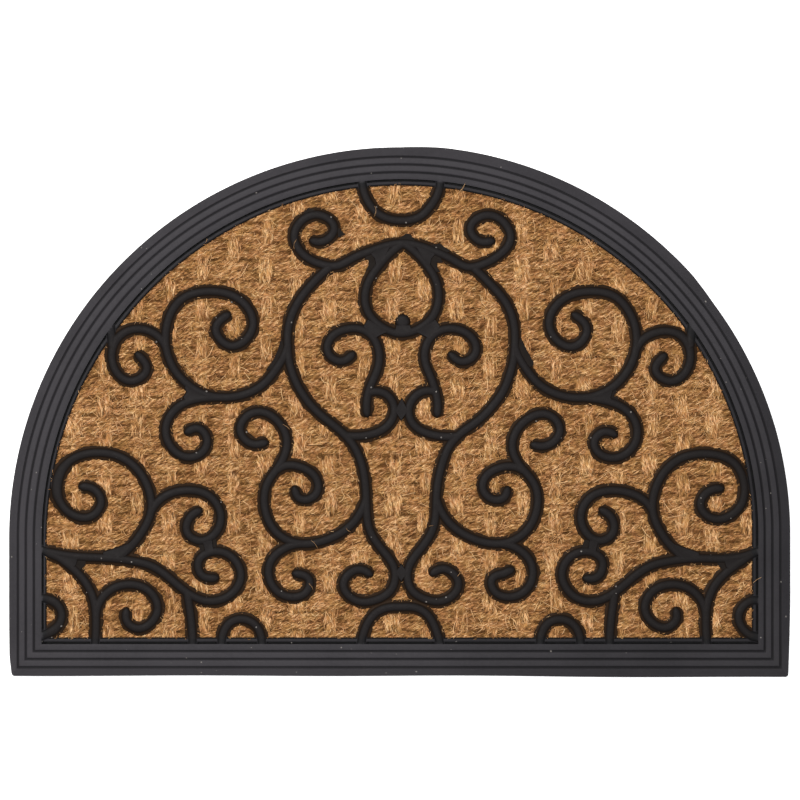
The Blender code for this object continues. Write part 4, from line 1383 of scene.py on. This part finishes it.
class DOORMAT_OT_stage(bpy.types.Operator):
    """Adds the pale floor, the soft lights and the camera straight above the mat"""
    bl_idname = "doormat.stage"
    bl_label = "Stage"

    def execute(self, context):
        scene = context.scene
        bm = bmesh.new()
        bmesh.ops.create_grid(bm, x_segments=1, y_segments=1, size=FLOOR_HALF_SIZE)
        bmesh.ops.translate(bm, vec=(0, 0, -0.1 * MM), verts=bm.verts)
        material, tree, shader, place = new_material("pale floor", 0.7, 0.5)
        floor = scene.doormat_colours.floor
        worn = [part * 0.985 for part in floor]
        shade = add_mottle(tree, place, 3.0, 60.0, 0.3)
        fill(tree, shader, {"Base Color": mix_colours(tree, shade, with_alpha(floor), with_alpha(worn)),
                            "Emission Color": (1, 1, 1, 1), "Emission Strength": FLOOR_GLOW})
        new_object("floor", mesh_from(bm, "floor"), material)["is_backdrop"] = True
        add_area_light("key light", (-0.85, 0.85, 2.5), 1.4, 92, (1.0, 0.985, 0.96))
        add_area_light("fill light", (0.9, -0.6, 2.0), 1.8, 22, (1.0, 1.0, 1.0))
        world = bpy.data.worlds.new("soft room")
        world.use_nodes = True
        fill(world.node_tree, world.node_tree.nodes["Background"], {0: (0.93, 0.95, 1.0, 1), 1: 0.38})
        scene.world = world
        camera = bpy.data.cameras.new("camera")
        camera.sensor_width = 36
        camera.lens = camera.sensor_width * CAMERA_HEIGHT / VIEW_WIDTH
        obj = bpy.data.objects.new("camera", camera)
        obj.location = (VIEW_CENTRE[0], VIEW_CENTRE[1], CAMERA_HEIGHT + MAT_THICKNESS)
        scene.collection.objects.link(obj)
        scene.camera = obj
        scene.view_settings.view_transform = 'Standard'
        return {'FINISHED'}


class DOORMAT_PT_panel(bpy.types.Panel):
    """Lists the doormat's pieces and their sizes"""
    bl_idname = "DOORMAT_PT_panel"
    bl_label = "Half-round coir doormat"
    bl_space_type = 'VIEW_3D'
    bl_region_type = 'UI'
    bl_category = "Doormat"

    def draw(self, context):
        for settings in (context.scene.doormat_rubber, context.scene.doormat_coir,
                         context.scene.doormat_colours):
            box = self.layout.box()
            for name in settings.__annotations__:
                box.prop(settings, name)
        for operator in OPERATORS:
            self.layout.operator(operator.bl_idname)


OPERATORS = (DOORMAT_OT_rubber, DOORMAT_OT_panel, DOORMAT_OT_fibres, DOORMAT_OT_sheet, DOORMAT_OT_stage)
CLASSES = (RubberSizes, CoirSizes, Colours) + OPERATORS + (DOORMAT_PT_panel,)


def register():
    for cls in CLASSES:
        bpy.utils.register_class(cls)
    bpy.types.Scene.doormat_rubber = PointerProperty(type=RubberSizes)
    bpy.types.Scene.doormat_coir = PointerProperty(type=CoirSizes)
    bpy.types.Scene.doormat_colours = PointerProperty(type=Colours)


def unregister():
    del bpy.types.Scene.doormat_rubber
    del bpy.types.Scene.doormat_coir
    del bpy.types.Scene.doormat_colours
    for cls in reversed(CLASSES):
        bpy.utils.unregister_class(cls)


def main():
    register()
    bpy.ops.doormat.rubber()
    bpy.ops.doormat.panel()
    bpy.ops.doormat.fibres()
    bpy.ops.doormat.sheet()
    bpy.ops.doormat.stage()
    corners = [[list(corner) for corner in box] for box in (packed_box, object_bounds())]


if __name__ == "__main__":
    main()
